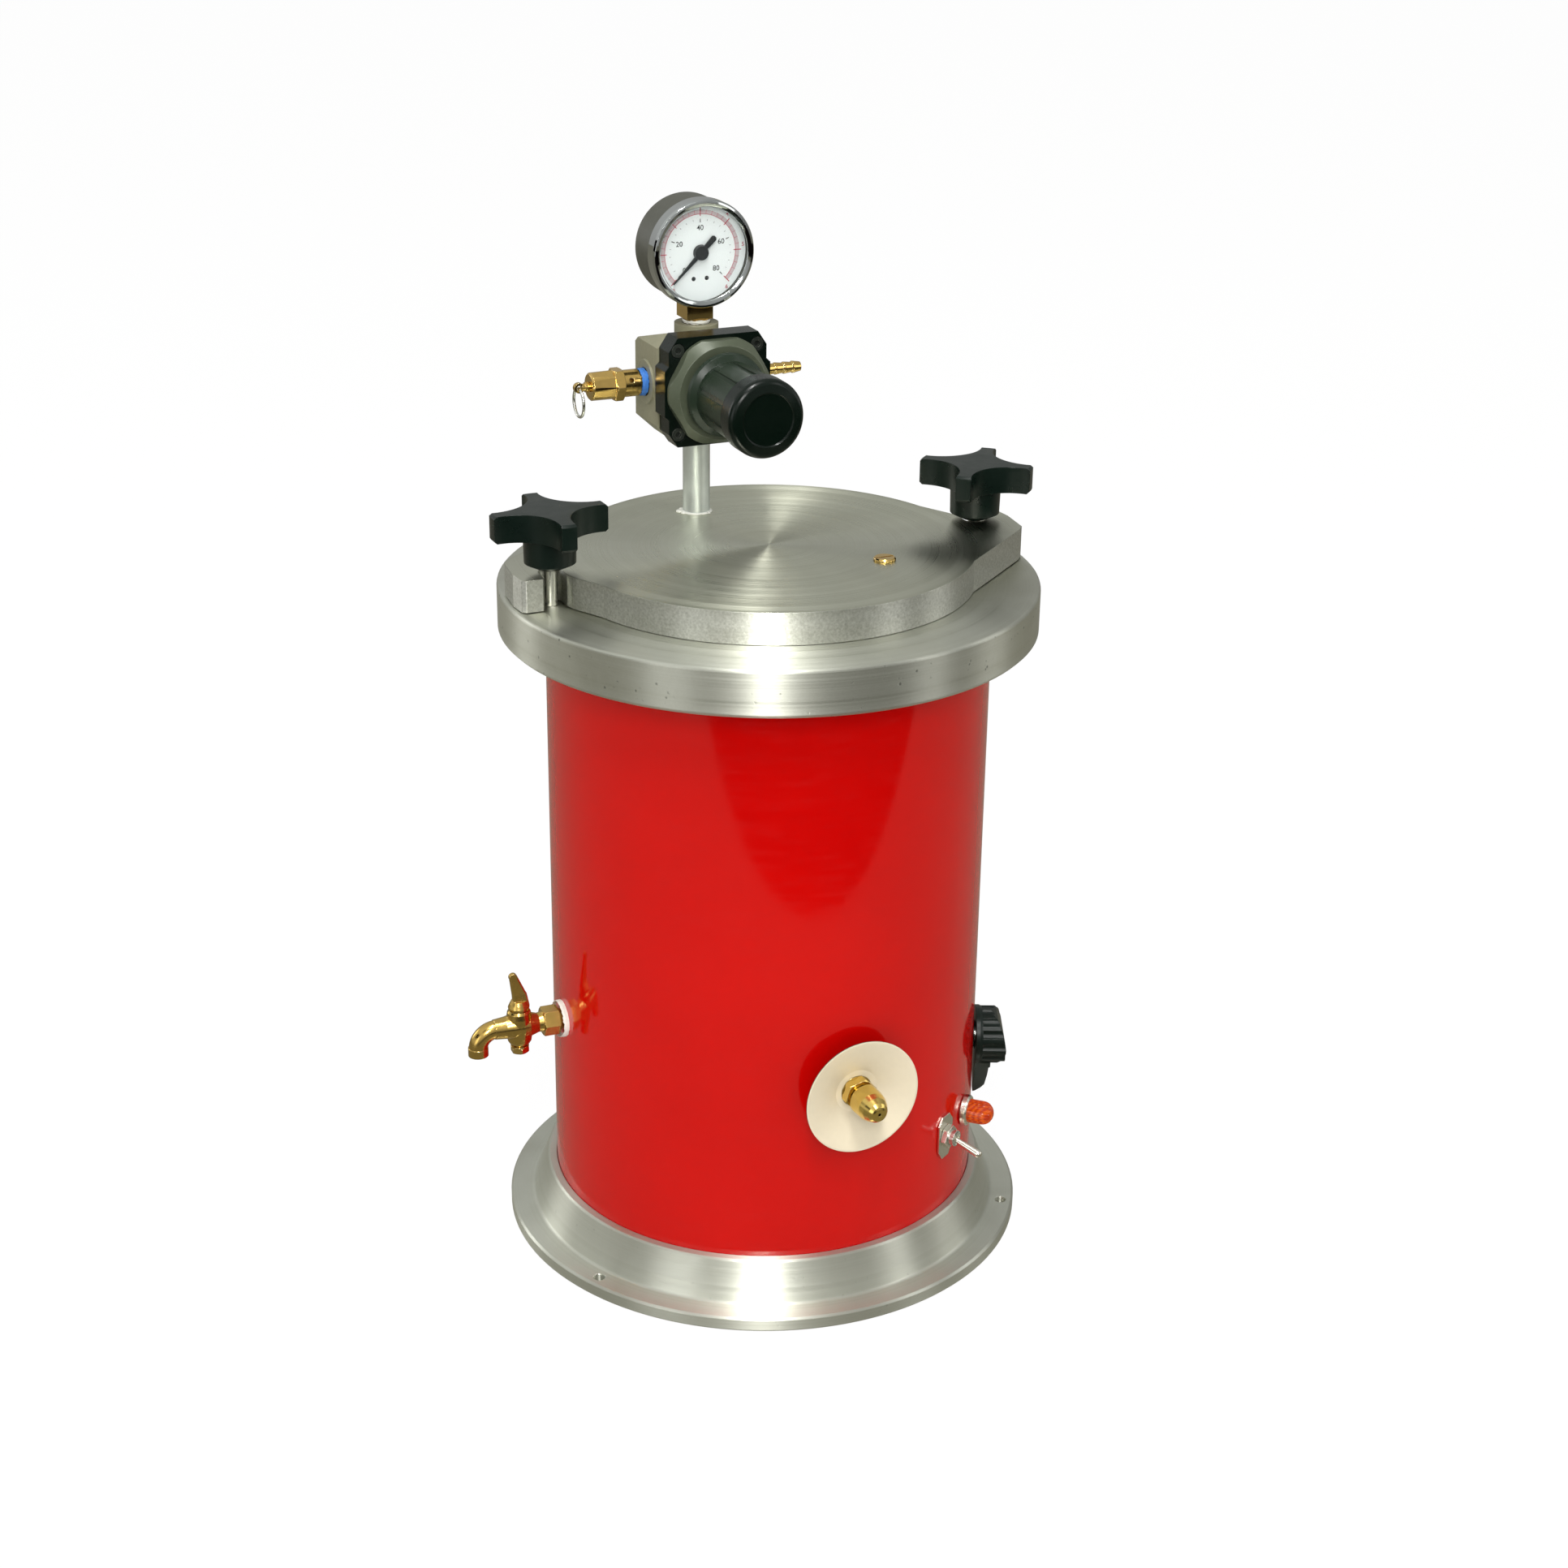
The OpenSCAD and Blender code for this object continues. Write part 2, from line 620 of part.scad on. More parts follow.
module thermostat_body() {
    w = 28;
    h = 22;
    drop = thermo_z + h / 2 - pot_bottom + 0.8;
    top = wall_at(shell_in, w / 2) - 0.5;
    depth = 20;
    color([0.24, 0.22, 0.20]) radial(thermo_az, thermo_z) difference() {
        union() {
            translate([-w / 2, -h / 2 - drop, top - depth]) cube([w, h, depth]);
            translate([0, 0, top - 1]) cylinder(r = thermo_bush_r, h = shell_r + 0.4 - top + 1, $fn = 48);
            for (x = [-8, 8]) translate([x - 3, -h / 2 - drop - 6, top - depth + 4]) cube([6, 7, 0.8]);
        }
        translate([0, 0, top - 12]) cylinder(r = shaft_r + turn_gap, h = 30, $fn = small);
    }
}

module thermostat_shaft() {
    top = wall_at(shell_in, 14) - 0.5;
    color(STEEL) radial(thermo_az, thermo_z) translate([0, 0, top - 11.7])
        cylinder(r = shaft_r, h = skirt_z + 8 - top + 11.7, $fn = small);
}

module thermostat_knob() {
    flutes = 14;
    color(BLACK) radial(thermo_az, thermo_z) translate([0, 0, skirt_z]) difference() {
        intersection() {
            union() {
                difference() {
                    rotate_extrude($fn = 96)
                        polygon([[0, 0], [grip_r + 0.4, 0], [grip_r + 0.4, 1.6], [grip_r, 2.4], [grip_r, grip_h],
                                 [0, grip_h]]);
                    for (k = [0:flutes - 1]) rotate([0, 0, 90 + 360 * (k + 0.5) / flutes])
                        translate([grip_r + 1.3, 0, 2.6]) cylinder(r = 2.2, h = 20, $fn = 24);
                }
                linear_extrude(nose_h) polygon([[-7.5, -6], [-7.5, -9], [-1.7, -thermo_reach],
                    [1.7, -thermo_reach], [7.5, -9], [7.5, -6]]);
            }
            // The side profile: the face leans, highest above the nose.
            translate([-grip_r - 2, 0, 0]) rotate([90, 0, 90]) linear_extrude(2 * grip_r + 4)
                polygon([[grip_r + 1, -1], [grip_r + 1, 5], [grip_r + 0.2, 5.8], [grip_r - 2, 8.6],
                         [6.2, grip_h - 1.8], [2.2, grip_h - 0.7], [-1.4, grip_h - 0.1], [-7.4, grip_h - 0.2],
                         [-9, grip_h - 1.4], [-10.4, 7.8], [-grip_r - 0.3, 5.6], [-15.7, 5.3],
                         [4.3 - thermo_reach, 4.5],
                         [2.4 - thermo_reach, 3.1], [0.6 - thermo_reach, 0.9], [0.1 - thermo_reach, -1]]);
        }
        translate([0, 0, -1]) cylinder(r = shaft_r + turn_gap, h = 9.2, $fn = small);
        translate([0, 0, -1]) cylinder(r = thermo_bush_r + 1, h = 2, $fn = small);
    }
}

// ---- top flange, gasket and lid ----

gasket_in = pot_r + 2.2;
gasket_out = gasket_in + 4.6;
gasket_sink = 1.6;
stud_depth = 12.5;

module top_flange() {
    r = flange_d / 2;
    edge = 1.2;
    color(ALUMINIUM) difference() {
        rotate_extrude($fn = 180) polygon(concat(
            [[pot_r, flange_z], [r - edge, flange_z], [r, flange_z + edge]],
            arc(r - edge, flange_top - edge, edge, 0, 90, 3),
            [[gasket_out + 0.2, flange_top], [gasket_out + 0.2, flange_top - gasket_sink],
             [gasket_in - 0.2, flange_top - gasket_sink], [gasket_in - 0.2, flange_top],
             [pot_r + 0.6, flange_top], [pot_r, flange_top - 0.6]]));
        translate([0, 0, flange_z - 1]) difference() {
            cylinder(r = shell_r + 0.15, h = shell_groove + 1, $fn = 180);
            translate([0, 0, -1]) cylinder(r = shell_in - 0.15, h = shell_groove + 4, $fn = 180);
        }
        for (s = [-1, 1]) translate([s * stud_reach, 0, flange_top - stud_depth])
            cylinder(r = stud_r + 0.2, h = stud_depth + 1, $fn = small);
    }
}

module lid_gasket() {
    color([0.10, 0.10, 0.10]) translate([0, 0, flange_top - gasket_sink])
        tube(gasket_out, gasket_in, gasket_sink + run_gap);
}

plug_hole_r = 3.6;
plug_x = 31.2;
plug_y = -32.3;
spigot_h = 2.6;

// One ear: its closed side is a line off the disc, and its open side is the stud's slot.
module ear_outline() {
    lid_r = lid_d / 2;
    corner = norm([ear_reach - 1.5, ear_half]);
    lean = atan2(ear_reach - 1.5, ear_half);
    start = lean - acos(lid_r / corner) - 10;
    sunk = lid_r - 1.2;
    round_r = 3;
    union() {
        polygon([[sunk * sin(start), -sunk * cos(start)],
                 [ear_reach - 1.5 - round_r * 0.9, -ear_half - 0.3], [ear_reach - 1.5, -ear_half + round_r],
                 [ear_reach, -2], [ear_reach - 0.6, ear_tip - 1.2], [ear_reach - 2, ear_tip],
                 [stud_reach + slot_r + 0.8, ear_tip], [stud_reach + slot_r, ear_tip - 0.8],
                 [stud_reach, 0], [stud_reach - slot_r, 5], [stud_reach - slot_r - 0.8, 8.5],
                 [sunk * sin(66), sunk * cos(66)], [0, 0]]);
    }
}

module lid_outline() {
    difference() {
        union() {
            circle(r = lid_d / 2, $fn = 180);
            for (a = [0, 180]) rotate([0, 0, a]) ear_outline();
        }
        for (a = [0, 180]) rotate([0, 0, a]) {
            translate([stud_reach, 0]) circle(r = slot_r, $fn = 48);
            translate([stud_reach - slot_r, 0]) square([2 * slot_r, 30]);
        }
    }
}

module lid() {
    color(ALUMINIUM) difference() {
        union() {
            translate([0, 0, lid_z]) linear_extrude(lid_t) lid_outline();
            translate([0, 0, lid_z - spigot_h]) rotate_extrude($fn = 120)
                polygon([[0, 0], [pot_r - 1.4, 0], [pot_r - 0.8, 0.6], [pot_r - 0.8, spigot_h + 2],
                         [0, spigot_h + 2]]);
        }
        translate([pipe_x, pipe_y, lid_z - spigot_h - 1])
            cylinder(r = pipe_r + fix_gap, h = lid_t + spigot_h + 2, $fn = 48);
        translate([plug_x, plug_y, lid_z - spigot_h - 1])
            cylinder(r = plug_hole_r, h = lid_t + spigot_h + 2, $fn = 48);
    }
}

module lid_plug() {
    color(BRASS) translate([plug_x, plug_y, lid_z]) difference() {
        union() {
            cylinder(r = plug_hole_r - fix_gap, h = lid_t + 0.1, $fn = 48);
            translate([0, 0, lid_t + 0.05]) rotate_extrude($fn = 48)
                polygon([[0, 0], [4.1, 0], [4.1, 0.6], [3.6, 1.1], [0, 1.1]]);
        }
        translate([-5, -0.5, lid_t + 0.5]) cube([10, 1, 2]);
    }
}

module stud(side) {
    color(STEEL) translate([side * stud_reach, 0, flange_top - stud_depth + 0.3])
        cylinder(r = stud_r, h = knob_arm_z + 5 - flange_top + stud_depth - 0.3, $fn = small);
}

// A four-armed star knob; turn is the angle of its first arm.
module star_knob(side, turn, lift) {
    notch = 25.5;
    notch_r = 15.5;
    lip = 1;
    color(BLACK) translate([side * stud_reach, 0, lift]) rotate([0, 0, turn]) difference() {
        union() {
            translate([0, 0, knob_z]) rotate_extrude($fn = 72)
                polygon([[0, 0], [4.6, 0], [knob_stem_r, 2.4], [knob_stem_r + 0.2, knob_stem_h], [0, knob_stem_h]]);
            translate([0, 0, knob_arm_z - eps]) difference() {
                rotate_extrude($fn = 120)
                    polygon([[0, 0], [knob_arm - lip, 0], [knob_arm, lip], [knob_arm, knob_arm_h - lip],
                             [knob_arm - lip, knob_arm_h - 0.2], [10, knob_arm_h], [0, knob_arm_h]]);
                for (a = [45:90:315]) rotate([0, 0, a]) translate([notch, 0, -1])
                    cylinder(r = notch_r, h = knob_arm_h + 2, $fn = 120);
            }
        }
        translate([0, 0, knob_z - 1]) cylinder(r = stud_r + turn_gap, h = knob_arm_z + 5.3 - knob_z + 1, $fn = small);
    }
}

// ---- air head ----

port_r = pipe_r + fix_gap;
port_depth = 6;
reg_back = 17;
reg_front = 11.3;
bonnet_front = 20.7;
nut_front = 26.6;
knob_back = 28.4;
knob_len = 28.2;
cap_len = 10.4;
screw_x = 15.6;
screw_y = 15.6;
boss_h = 0.8;

module air_pipe() {
    bottom = lid_z;
    top = reg_z - reg_h / 2 + port_depth - 1;
    color(STEEL) translate([pipe_x, pipe_y, bottom]) tube(pipe_r, 3.2, top - bottom);
}

module regulator_body() {
    half_w = reg_w / 2;
    half_h = reg_h / 2;
    color(OLIVE) head(reg_z) difference() {
        union() {
            intersection() {
                translate([-half_w, 0, 0]) rotate([90, 0, 90]) linear_extrude(reg_w)
                    polygon([[-half_h, reg_front], [-half_h, -5], [-10.5, -reg_back], [8.5, -reg_back],
                             [half_h - 4.8, -8], [half_h, reg_front - 1.6], [half_h, reg_front]]);
                translate([0, half_h, 0]) rotate([90, 0, 0]) linear_extrude(reg_h)
                    polygon([[-half_w, reg_front], [-half_w, -11], [-half_w + 5, -reg_back],
                             [half_w - 5, -reg_back], [half_w, -11], [half_w, reg_front]]);
                translate([0, 0, -reg_back]) linear_extrude(reg_back + reg_front)
                    polygon([[-half_w, 5 - half_h], [-half_w, half_h - 5], [-half_w + 5, half_h],
                             [half_w - 5, half_h], [half_w, half_h - 5], [half_w, 5 - half_h],
                             [half_w - 5, -half_h], [5 - half_w, -half_h]]);
            }
            for (s = [-1, 1]) {
                rotate([0, s * 90, 0]) translate([0, 0, half_w - eps]) cylinder(r = 8.2, h = boss_h, $fn = 48);
                rotate([-s * 90, 0, 0]) translate([0, 0, half_h - 7]) cylinder(r = 8.2, h = boss_h + 7, $fn = 48);
            }
        }
        for (s = [-1, 1]) {
            rotate([0, s * 90, 0]) translate([0, 0, half_w - port_depth])
                cylinder(r = port_r, h = port_depth + 2, $fn = 48);
            rotate([-s * 90, 0, 0]) translate([0, 0, half_h - port_depth])
                cylinder(r = port_r, h = port_depth + 2, $fn = 48);
        }
        for (x = [-screw_x, screw_x], y = [-screw_y, screw_y])
            translate([x, y, reg_front - 6]) cylinder(r = 1.6, h = 8, $fn = 24);
    }
}

module bonnet_plate() {
    half_w = reg_w / 2 + 0.9;
    half_h = reg_h / 2 + 0.5;
    cut = 5;
    neck = 11.8;
    color(BLACK) head(reg_z) difference() {
        union() {
            translate([0, 0, reg_front]) linear_extrude(bonnet_front - reg_front)
                polygon([[-half_w, -8.5], [-half_w, 8.5], [-half_w + 1.6, 10], [-half_w + 1.6, half_h - cut],
                         [-half_w + cut, half_h], [half_w - cut, half_h], [half_w - 1.6, half_h - cut],
                         [half_w - 1.6, 10], [half_w, 8.5], [half_w, -8.5], [half_w - 1.6, -10],
                         [half_w - 1.6, cut - half_h], [half_w - cut, -half_h], [cut - half_w, -half_h],
                         [1.6 - half_w, cut - half_h], [1.6 - half_w, -10]]);
            translate([0, 0, bonnet_front - eps]) cylinder(r = neck, h = 13, $fn = 60);
        }
        for (x = [-screw_x, screw_x], y = [-screw_y, screw_y]) translate([x, y, 0]) {
            translate([0, 0, reg_front - 1]) cylinder(r = 1.6, h = 20, $fn = 24);
            translate([0, 0, bonnet_front - 2.2]) cylinder(r = 2.7, h = 5, $fn = 32);
        }
    }
}

module bonnet_screws() {
    color([0.35, 0.36, 0.34]) head(reg_z) for (x = [-screw_x, screw_x], y = [-screw_y, screw_y])
        translate([x, y, 0]) difference() {
            union() {
                translate([0, 0, reg_front - 5.8]) cylinder(r = 1.45, h = bonnet_front - reg_front + 4, $fn = 24);
                translate([0, 0, bonnet_front - 2.2]) cylinder(r = 2.5, h = 2, $fn = 32);
            }
            translate([0, 0, bonnet_front - 1.4]) cylinder(r = 1.3, h = 3, $fn = 6);
        }
}

module bonnet_nut() {
    across = 38;
    corner = across / sqrt(3);
    color(OLIVE) head(reg_z) translate([0, 0, bonnet_front]) difference() {
        intersection() {
            cylinder(r = corner, h = nut_front - bonnet_front, $fn = 6);
            rotate_extrude($fn = 96)
                polygon([[12, 0], [19.6, 0], [20.3, 0.7], [20.3, 2.4], [17.4, nut_front - bonnet_front],
                         [12, nut_front - bonnet_front]]);
        }
        translate([0, 0, -1]) cylinder(r = 12, h = 10, $fn = 60);
    }
}

module regulator_knob() {
    panels = 10;
    color([0.15, 0.17, 0.15]) head(reg_z) translate([0, 0, knob_back]) difference() {
        union() {
            rotate_extrude($fn = 96)
                polygon([[0, 0], [reg_knob_r + 1.6, 0], [reg_knob_r + 2, 0.5], [reg_knob_r + 1.6, 2.2],
                         [reg_knob_r - 0.6, 3.4], [reg_knob_r, knob_len], [0, knob_len]]);
        }
        for (k = [0:panels - 1]) rotate([0, 0, 360 * (k + 0.5) / panels])
            translate([reg_knob_r - 0.9, -0.9, 4.2]) cube([4, 1.8, 30]);
        translate([0, 0, -1]) cylinder(r = 12.1, h = 7.4, $fn = 60);
    }
}

module knob_cap() {
    r = reg_knob_r + 0.9;
    color(BLACK) head(reg_z) translate([0, 0, knob_back + knob_len])
        rotate_extrude($fn = 96) polygon(concat(
            [[0, 0], [r - 0.5, 0], [r, 0.6], [r, cap_len - 4]],
            arc(r - 2.6, cap_len - 3.4, 2.6, 0, 70, 4),
            [[r - 4.6, cap_len - 0.4], [r - 5, cap_len - 0.9], [0, cap_len - 0.9]]));
}

module hose_barb() {
    x0 = reg_w / 2 + boss_h + 0.1;
    color(BRASS) head(reg_z) rotate([0, 90, 0]) difference() {
        union() {
            translate([0, 0, x0 - 5]) cylinder(r = pipe_r - 0.1, h = 5 + eps, $fn = small);
            translate([0, 0, x0]) hex(11, 4.4);
            translate([0, 0, x0 + 4.3]) rotate_extrude($fn = small)
                polygon(concat([[0, 0], [2.1, 0]],
                    [for (k = [0:3], p = [[1.95, 2.2], [2.3, 2.5], [2.3, 2.9]]) [p[0], p[1] + k * 3.6 + 0.4]],
                    [[1.8, 17], [0, 17]]));
        }
        translate([0, 0, x0 - 6]) cylinder(r = 1.3, h = 40, $fn = 24);
    }
}

tape_w = 2.8;
valve_x = reg_w / 2 + boss_h + tape_w + 0.2;
valve_tail = 6.2;
valve_hex_h = 3.6;
valve_front = 9;
valve_len = valve_tail + valve_hex_h + valve_front;
eye_x = valve_x + valve_len + 4;
eye_r = 1;
ring_r = 5.3;
wire_r = 0.55;

module valve_tape() {
    color([0.16, 0.35, 0.72]) head(reg_z) rotate([0, -90, 0])
        translate([0, 0, reg_w / 2 + boss_h + 0.1]) tube(5.4, 4.7, tape_w);
}

module safety_valve_body() {
    color(BRASS) head(reg_z) rotate([0, -90, 0]) difference() {
        union() {
            translate([0, 0, valve_x - 7.4]) cylinder(r = 4.6, h = 7.4 + eps, $fn = small);
            translate([0, 0, valve_x]) cylinder(r = 5, h = valve_tail + eps, $fn = small);
            translate([0, 0, valve_x + valve_tail]) hex(11.1, valve_hex_h, 0);
            translate([0, 0, valve_x + valve_tail + valve_hex_h - eps]) intersection() {
                cylinder(r = 5.5, h = valve_front, $fn = 8);
                cylinder(r1 = 5.4, r2 = 5.2, h = valve_front, $fn = small);
                translate([0, 0, -5]) cylinder(r1 = 19, r2 = 4.6, h = valve_front + 5, $fn = small);
            }
        }
        translate([0, 0, valve_x + 4]) cylinder(r = 1.5, h = 30, $fn = small);
        for (a = [0:90:270]) rotate([0, 0, a + 25]) translate([0, 0, valve_x + 3.6]) rotate([0, 90, 0])
            cylinder(r = 0.9, h = 10, $fn = 24);
    }
}

module safety_stem() {
    color(BRASS) head(reg_z) rotate([0, -90, 0]) difference() {
        union() {
            translate([0, 0, valve_x + 5]) cylinder(r = 1.45, h = eye_x - valve_x - 6, $fn = small);
            translate([0, 0, valve_x + valve_len + 0.4]) cylinder(r = 1.9, h = 1.2, $fn = small);
            translate([-1, 0, eye_x]) rotate([0, 90, 0]) cylinder(r = 1.9, h = 2, $fn = small);
        }
        translate([-3, 0, eye_x]) rotate([0, 90, 0]) cylinder(r = eye_r, h = 6, $fn = small);
    }
}

module pull_ring() {
    color(STEEL) head(reg_z) translate([-eye_x, eye_r - wire_r - 0.65 - ring_r, 0]) rotate([0, 90, 0])
        rotate_extrude($fn = 72) translate([ring_r, 0]) circle(r = wire_r, $fn = 24);
}

// ---- gauge ----

gauge_back = -14.6;
dial_z = 3;
glass_z = 6.4;
bezel_front = 8.2;
socket_w = 10.3;
socket_foot = reg_z + reg_h / 2 + boss_h + 1.6;

module gauge_stem() {
    foot = socket_foot - gauge_z;
    color(BRASS) head(gauge_z) difference() {
        union() {
            translate([-socket_w / 2, foot, -socket_w / 2 - 1.4]) cube([socket_w, -12 - foot, socket_w]);
            translate([0, foot + eps, 0]) rotate([90, 0, 0]) cylinder(r = pipe_r - 0.3, h = 6.4, $fn = small);
        }
        translate([0, 0, -20]) cylinder(r = gauge_r - 0.75 + fix_gap, h = 40);
        translate([0, 0, dial_z - 1.8]) cylinder(r = gauge_r + fix_gap, h = 20);
        translate([0, foot + 9, 0]) rotate([90, 0, 0]) cylinder(r = 1.2, h = 20, $fn = 24);
    }
}

module gauge_tape() {
    color([0.95, 0.95, 0.94]) translate([pipe_x, pipe_y, reg_z + reg_h / 2 + boss_h + 0.1])
        tube(5.5, pipe_r - 0.2, 1.4);
}

module gauge_case() {
    r = gauge_r - 0.75;
    color([0.17, 0.18, 0.16]) head(gauge_z) rotate_extrude($fn = 120)
        polygon([[0, gauge_back], [r - 2.4, gauge_back], [r - 0.7, gauge_back + 0.7], [r, gauge_back + 2.4],
                 [r, dial_z + 1.4], [r - 1, dial_z + 1.4], [r - 1, gauge_back + 3], [r - 2.4, gauge_back + 1.4],
                 [0, gauge_back + 1.4]]);
}

module gauge_dial() {
    color([0.95, 0.96, 0.96]) head(gauge_z) translate([0, 0, dial_z]) difference() {
        cylinder(r = gauge_r - 1.85, h = 0.7);
        translate([0, 0, -1]) cylinder(r = 0.9, h = 3, $fn = 24);
    }
}

module gauge_needle() {
    z = dial_z + 1.1;
    color([0.05, 0.05, 0.05]) head(gauge_z) rotate([0, 0, 225]) {
        translate([0, 0, dial_z - 2.2]) cylinder(r = 0.8, h = 3.4, $fn = 24);
        translate([0, 0, z]) cylinder(r1 = 2.9, r2 = 2.6, h = 1.6, $fn = small);
        translate([0, 0, z + 0.4]) linear_extrude(0.5)
            polygon([[-7.2, -1.1], [-7.8, -0.5], [-7.8, 0.5], [-7.2, 1.1], [-1, 0.8], [3, 0.75],
                     [15.4, 0.2], [15.4, -0.2], [3, -0.75], [-1, -0.8]]);
    }
}

module gauge_lens() {
    color([0.85, 0.92, 0.95, 0.3]) head(gauge_z) translate([0, 0, glass_z])
        cylinder(r = gauge_r - 1.6, h = 1);
}

module gauge_bezel() {
    r = gauge_r;
    color([0.80, 0.80, 0.81]) head(gauge_z) rotate_extrude($fn = 120)
        polygon([[r - 0.75 + fix_gap, dial_z - 1.6], [r - 0.2, dial_z - 1.6], [r, dial_z - 1],
                 [r, bezel_front - 1.2], [r - 0.5, bezel_front - 0.3], [r - 1.3, bezel_front],
                 [r - 2, bezel_front - 0.3], [r - 2.8, glass_z + 1.05], [r - 1.5, glass_z + 1.05],
                 [r - 1.5, dial_z + 1.5], [r - 0.75 + fix_gap, dial_z + 1.5]]);
}

// ---- assembly ----

base_flange();
bottom_cover();
bottom_screws();
outer_shell();
top_flange();
wax_pot();
heater_plate();
heater_clamp_bar();
heater_clamp_screw();
insulation_sleeve();
cord_grommet();
nozzle_adapter();
nozzle_shield();
nozzle_spring();
nozzle_tip();
drain_washer();
drain_body();
drain_plug();
drain_nut();
switch_body();
switch_plate();
switch_nut();
switch_lever();
lamp_body();
lamp_bezel();
lamp_nut();
lamp_lens();
thermostat_body();
thermostat_shaft();
thermostat_knob();
lid_gasket();
lid();
lid_plug();
stud(-1);  // left_stud
stud(1);  // right_stud
star_knob(-1, 0, left_lift);  // left_knob
star_knob(1, -41, 0);  // right_knob
air_pipe();
regulator_body();
bonnet_plate();
bonnet_screws();
bonnet_nut();
regulator_knob();
knob_cap();
hose_barb();
safety_valve_body();
valve_tape();
safety_stem();
pull_ring();
gauge_stem();
gauge_tape();
gauge_case();
gauge_dial();
gauge_needle();
gauge_lens();
gauge_bezel();
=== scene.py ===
import json
import math
import bpy
from mathutils import Matrix, Quaternion, Vector


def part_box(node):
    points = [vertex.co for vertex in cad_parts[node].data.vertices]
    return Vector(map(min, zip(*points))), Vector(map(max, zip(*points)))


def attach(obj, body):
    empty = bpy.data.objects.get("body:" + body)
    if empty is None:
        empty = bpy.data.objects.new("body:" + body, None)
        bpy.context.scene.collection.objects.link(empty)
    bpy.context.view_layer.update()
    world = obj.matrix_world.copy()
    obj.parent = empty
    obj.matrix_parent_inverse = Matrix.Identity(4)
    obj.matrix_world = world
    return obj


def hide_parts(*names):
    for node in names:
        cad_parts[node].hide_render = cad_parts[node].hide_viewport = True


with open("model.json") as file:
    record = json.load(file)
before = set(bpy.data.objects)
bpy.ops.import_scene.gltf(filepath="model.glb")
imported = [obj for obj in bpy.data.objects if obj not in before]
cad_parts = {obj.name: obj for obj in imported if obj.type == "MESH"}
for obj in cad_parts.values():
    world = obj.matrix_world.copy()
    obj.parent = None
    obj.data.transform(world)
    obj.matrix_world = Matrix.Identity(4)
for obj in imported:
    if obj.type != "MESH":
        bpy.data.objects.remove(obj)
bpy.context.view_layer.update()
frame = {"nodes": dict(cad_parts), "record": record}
cadNodes = frame["nodes"]
scene = bpy.context.scene
mm = 0.001
print("loaded", len(cadNodes), "nodes")

# Camera: at the place and angle of the photograph.
cameraFacts = {
    "place": (-0.3831, -0.8565, 0.5763),
    "forward": (0.38176, 0.83770, -0.39053),
    "roll": 0.77,  # degrees
    "lens": 61.57,
}
cameraData = bpy.data.cameras.new("viewCamera")
cameraData.sensor_fit = "AUTO"
cameraData.sensor_width = 36
cameraData.lens = cameraFacts["lens"]
cameraData.clip_start = 0.02
cameraData.clip_end = 60
camera = bpy.data.objects.new("viewCamera", cameraData)
scene.collection.objects.link(camera)
camera.location = cameraFacts["place"]
camera.rotation_mode = "QUATERNION"
aim = Vector(cameraFacts["forward"]).to_track_quat("-Z", "Y")
camera.rotation_quaternion = aim @ Quaternion((0, 0, 1), math.radians(cameraFacts["roll"]))
scene.camera = camera
scene.view_settings.view_transform = "Standard"
print("camera set")


# Small helpers that wire shader nodes.
def setSocket(socket, value):
    if isinstance(value, tuple) and len(value) == 3 and socket.type == "RGBA":
        value = (*value, 1)
    socket.default_value = value


def feed(tree, socket, value):
    if isinstance(value, (int, float, tuple)):
        setSocket(socket, value)
    else:
        tree.links.new(value, socket)


def mathNode(tree, operation, a, b=None, c=None, clamp=False):
    n = tree.nodes.new("ShaderNodeMath")
    n.operation = operation
    n.use_clamp = clamp
    for i, value in enumerate((a, b, c)):
        if value is not None:
            feed(tree, n.inputs[i], value)
    return n.outputs[0]


def mixColour(tree, fac, a, b):
    n = tree.nodes.new("ShaderNodeMix")
    n.data_type = "RGBA"
    for i, value in ((0, fac), (6, a), (7, b)):
        feed(tree, n.inputs[i], value)
    return n.outputs[2]


def rangeNode(tree, value, low, high, toLow=0.0, toHigh=1.0):
    n = tree.nodes.new("ShaderNodeMapRange")
    for name, v in (("From Min", low), ("From Max", high), ("To Min", toLow), ("To Max", toHigh)):
        n.inputs[name].default_value = v
    tree.links.new(value, n.inputs["Value"])
    return n.outputs[0]


def noiseNode(tree, where, scale, detail=3.0, rough=0.55, distortion=0.0):
    n = tree.nodes.new("ShaderNodeTexNoise")
    n.inputs["Detail"].default_value = detail
    n.inputs["Roughness"].default_value = rough
    n.inputs["Distortion"].default_value = distortion
    tree.links.new(where, n.inputs["Vector"])
    feed(tree, n.inputs["Scale"], scale)
    return n.outputs["Fac"]


def lineNoise(tree, along, scale, detail, rough):
    n = tree.nodes.new("ShaderNodeTexNoise")
    n.noise_dimensions = "1D"
    n.inputs["Detail"].default_value = detail
    n.inputs["Roughness"].default_value = rough
    tree.links.new(along, n.inputs["W"])
    feed(tree, n.inputs["Scale"], scale)
    return n.outputs["Fac"]


def bumpNode(tree, height, strength, distance, normal=None):
    n = tree.nodes.new("ShaderNodeBump")
    n.inputs["Distance"].default_value = distance * mm
    feed(tree, n.inputs["Strength"], strength)
    tree.links.new(height, n.inputs["Height"])
    if normal is not None:
        tree.links.new(normal, n.inputs["Normal"])
    return n.outputs[0]


def objectPlace(tree):
    return tree.nodes.new("ShaderNodeTexCoord").outputs["Object"]


def splitAxes(tree, vector):
    n = tree.nodes.new("ShaderNodeSeparateXYZ")
    tree.links.new(vector, n.inputs[0])
    return n.outputs


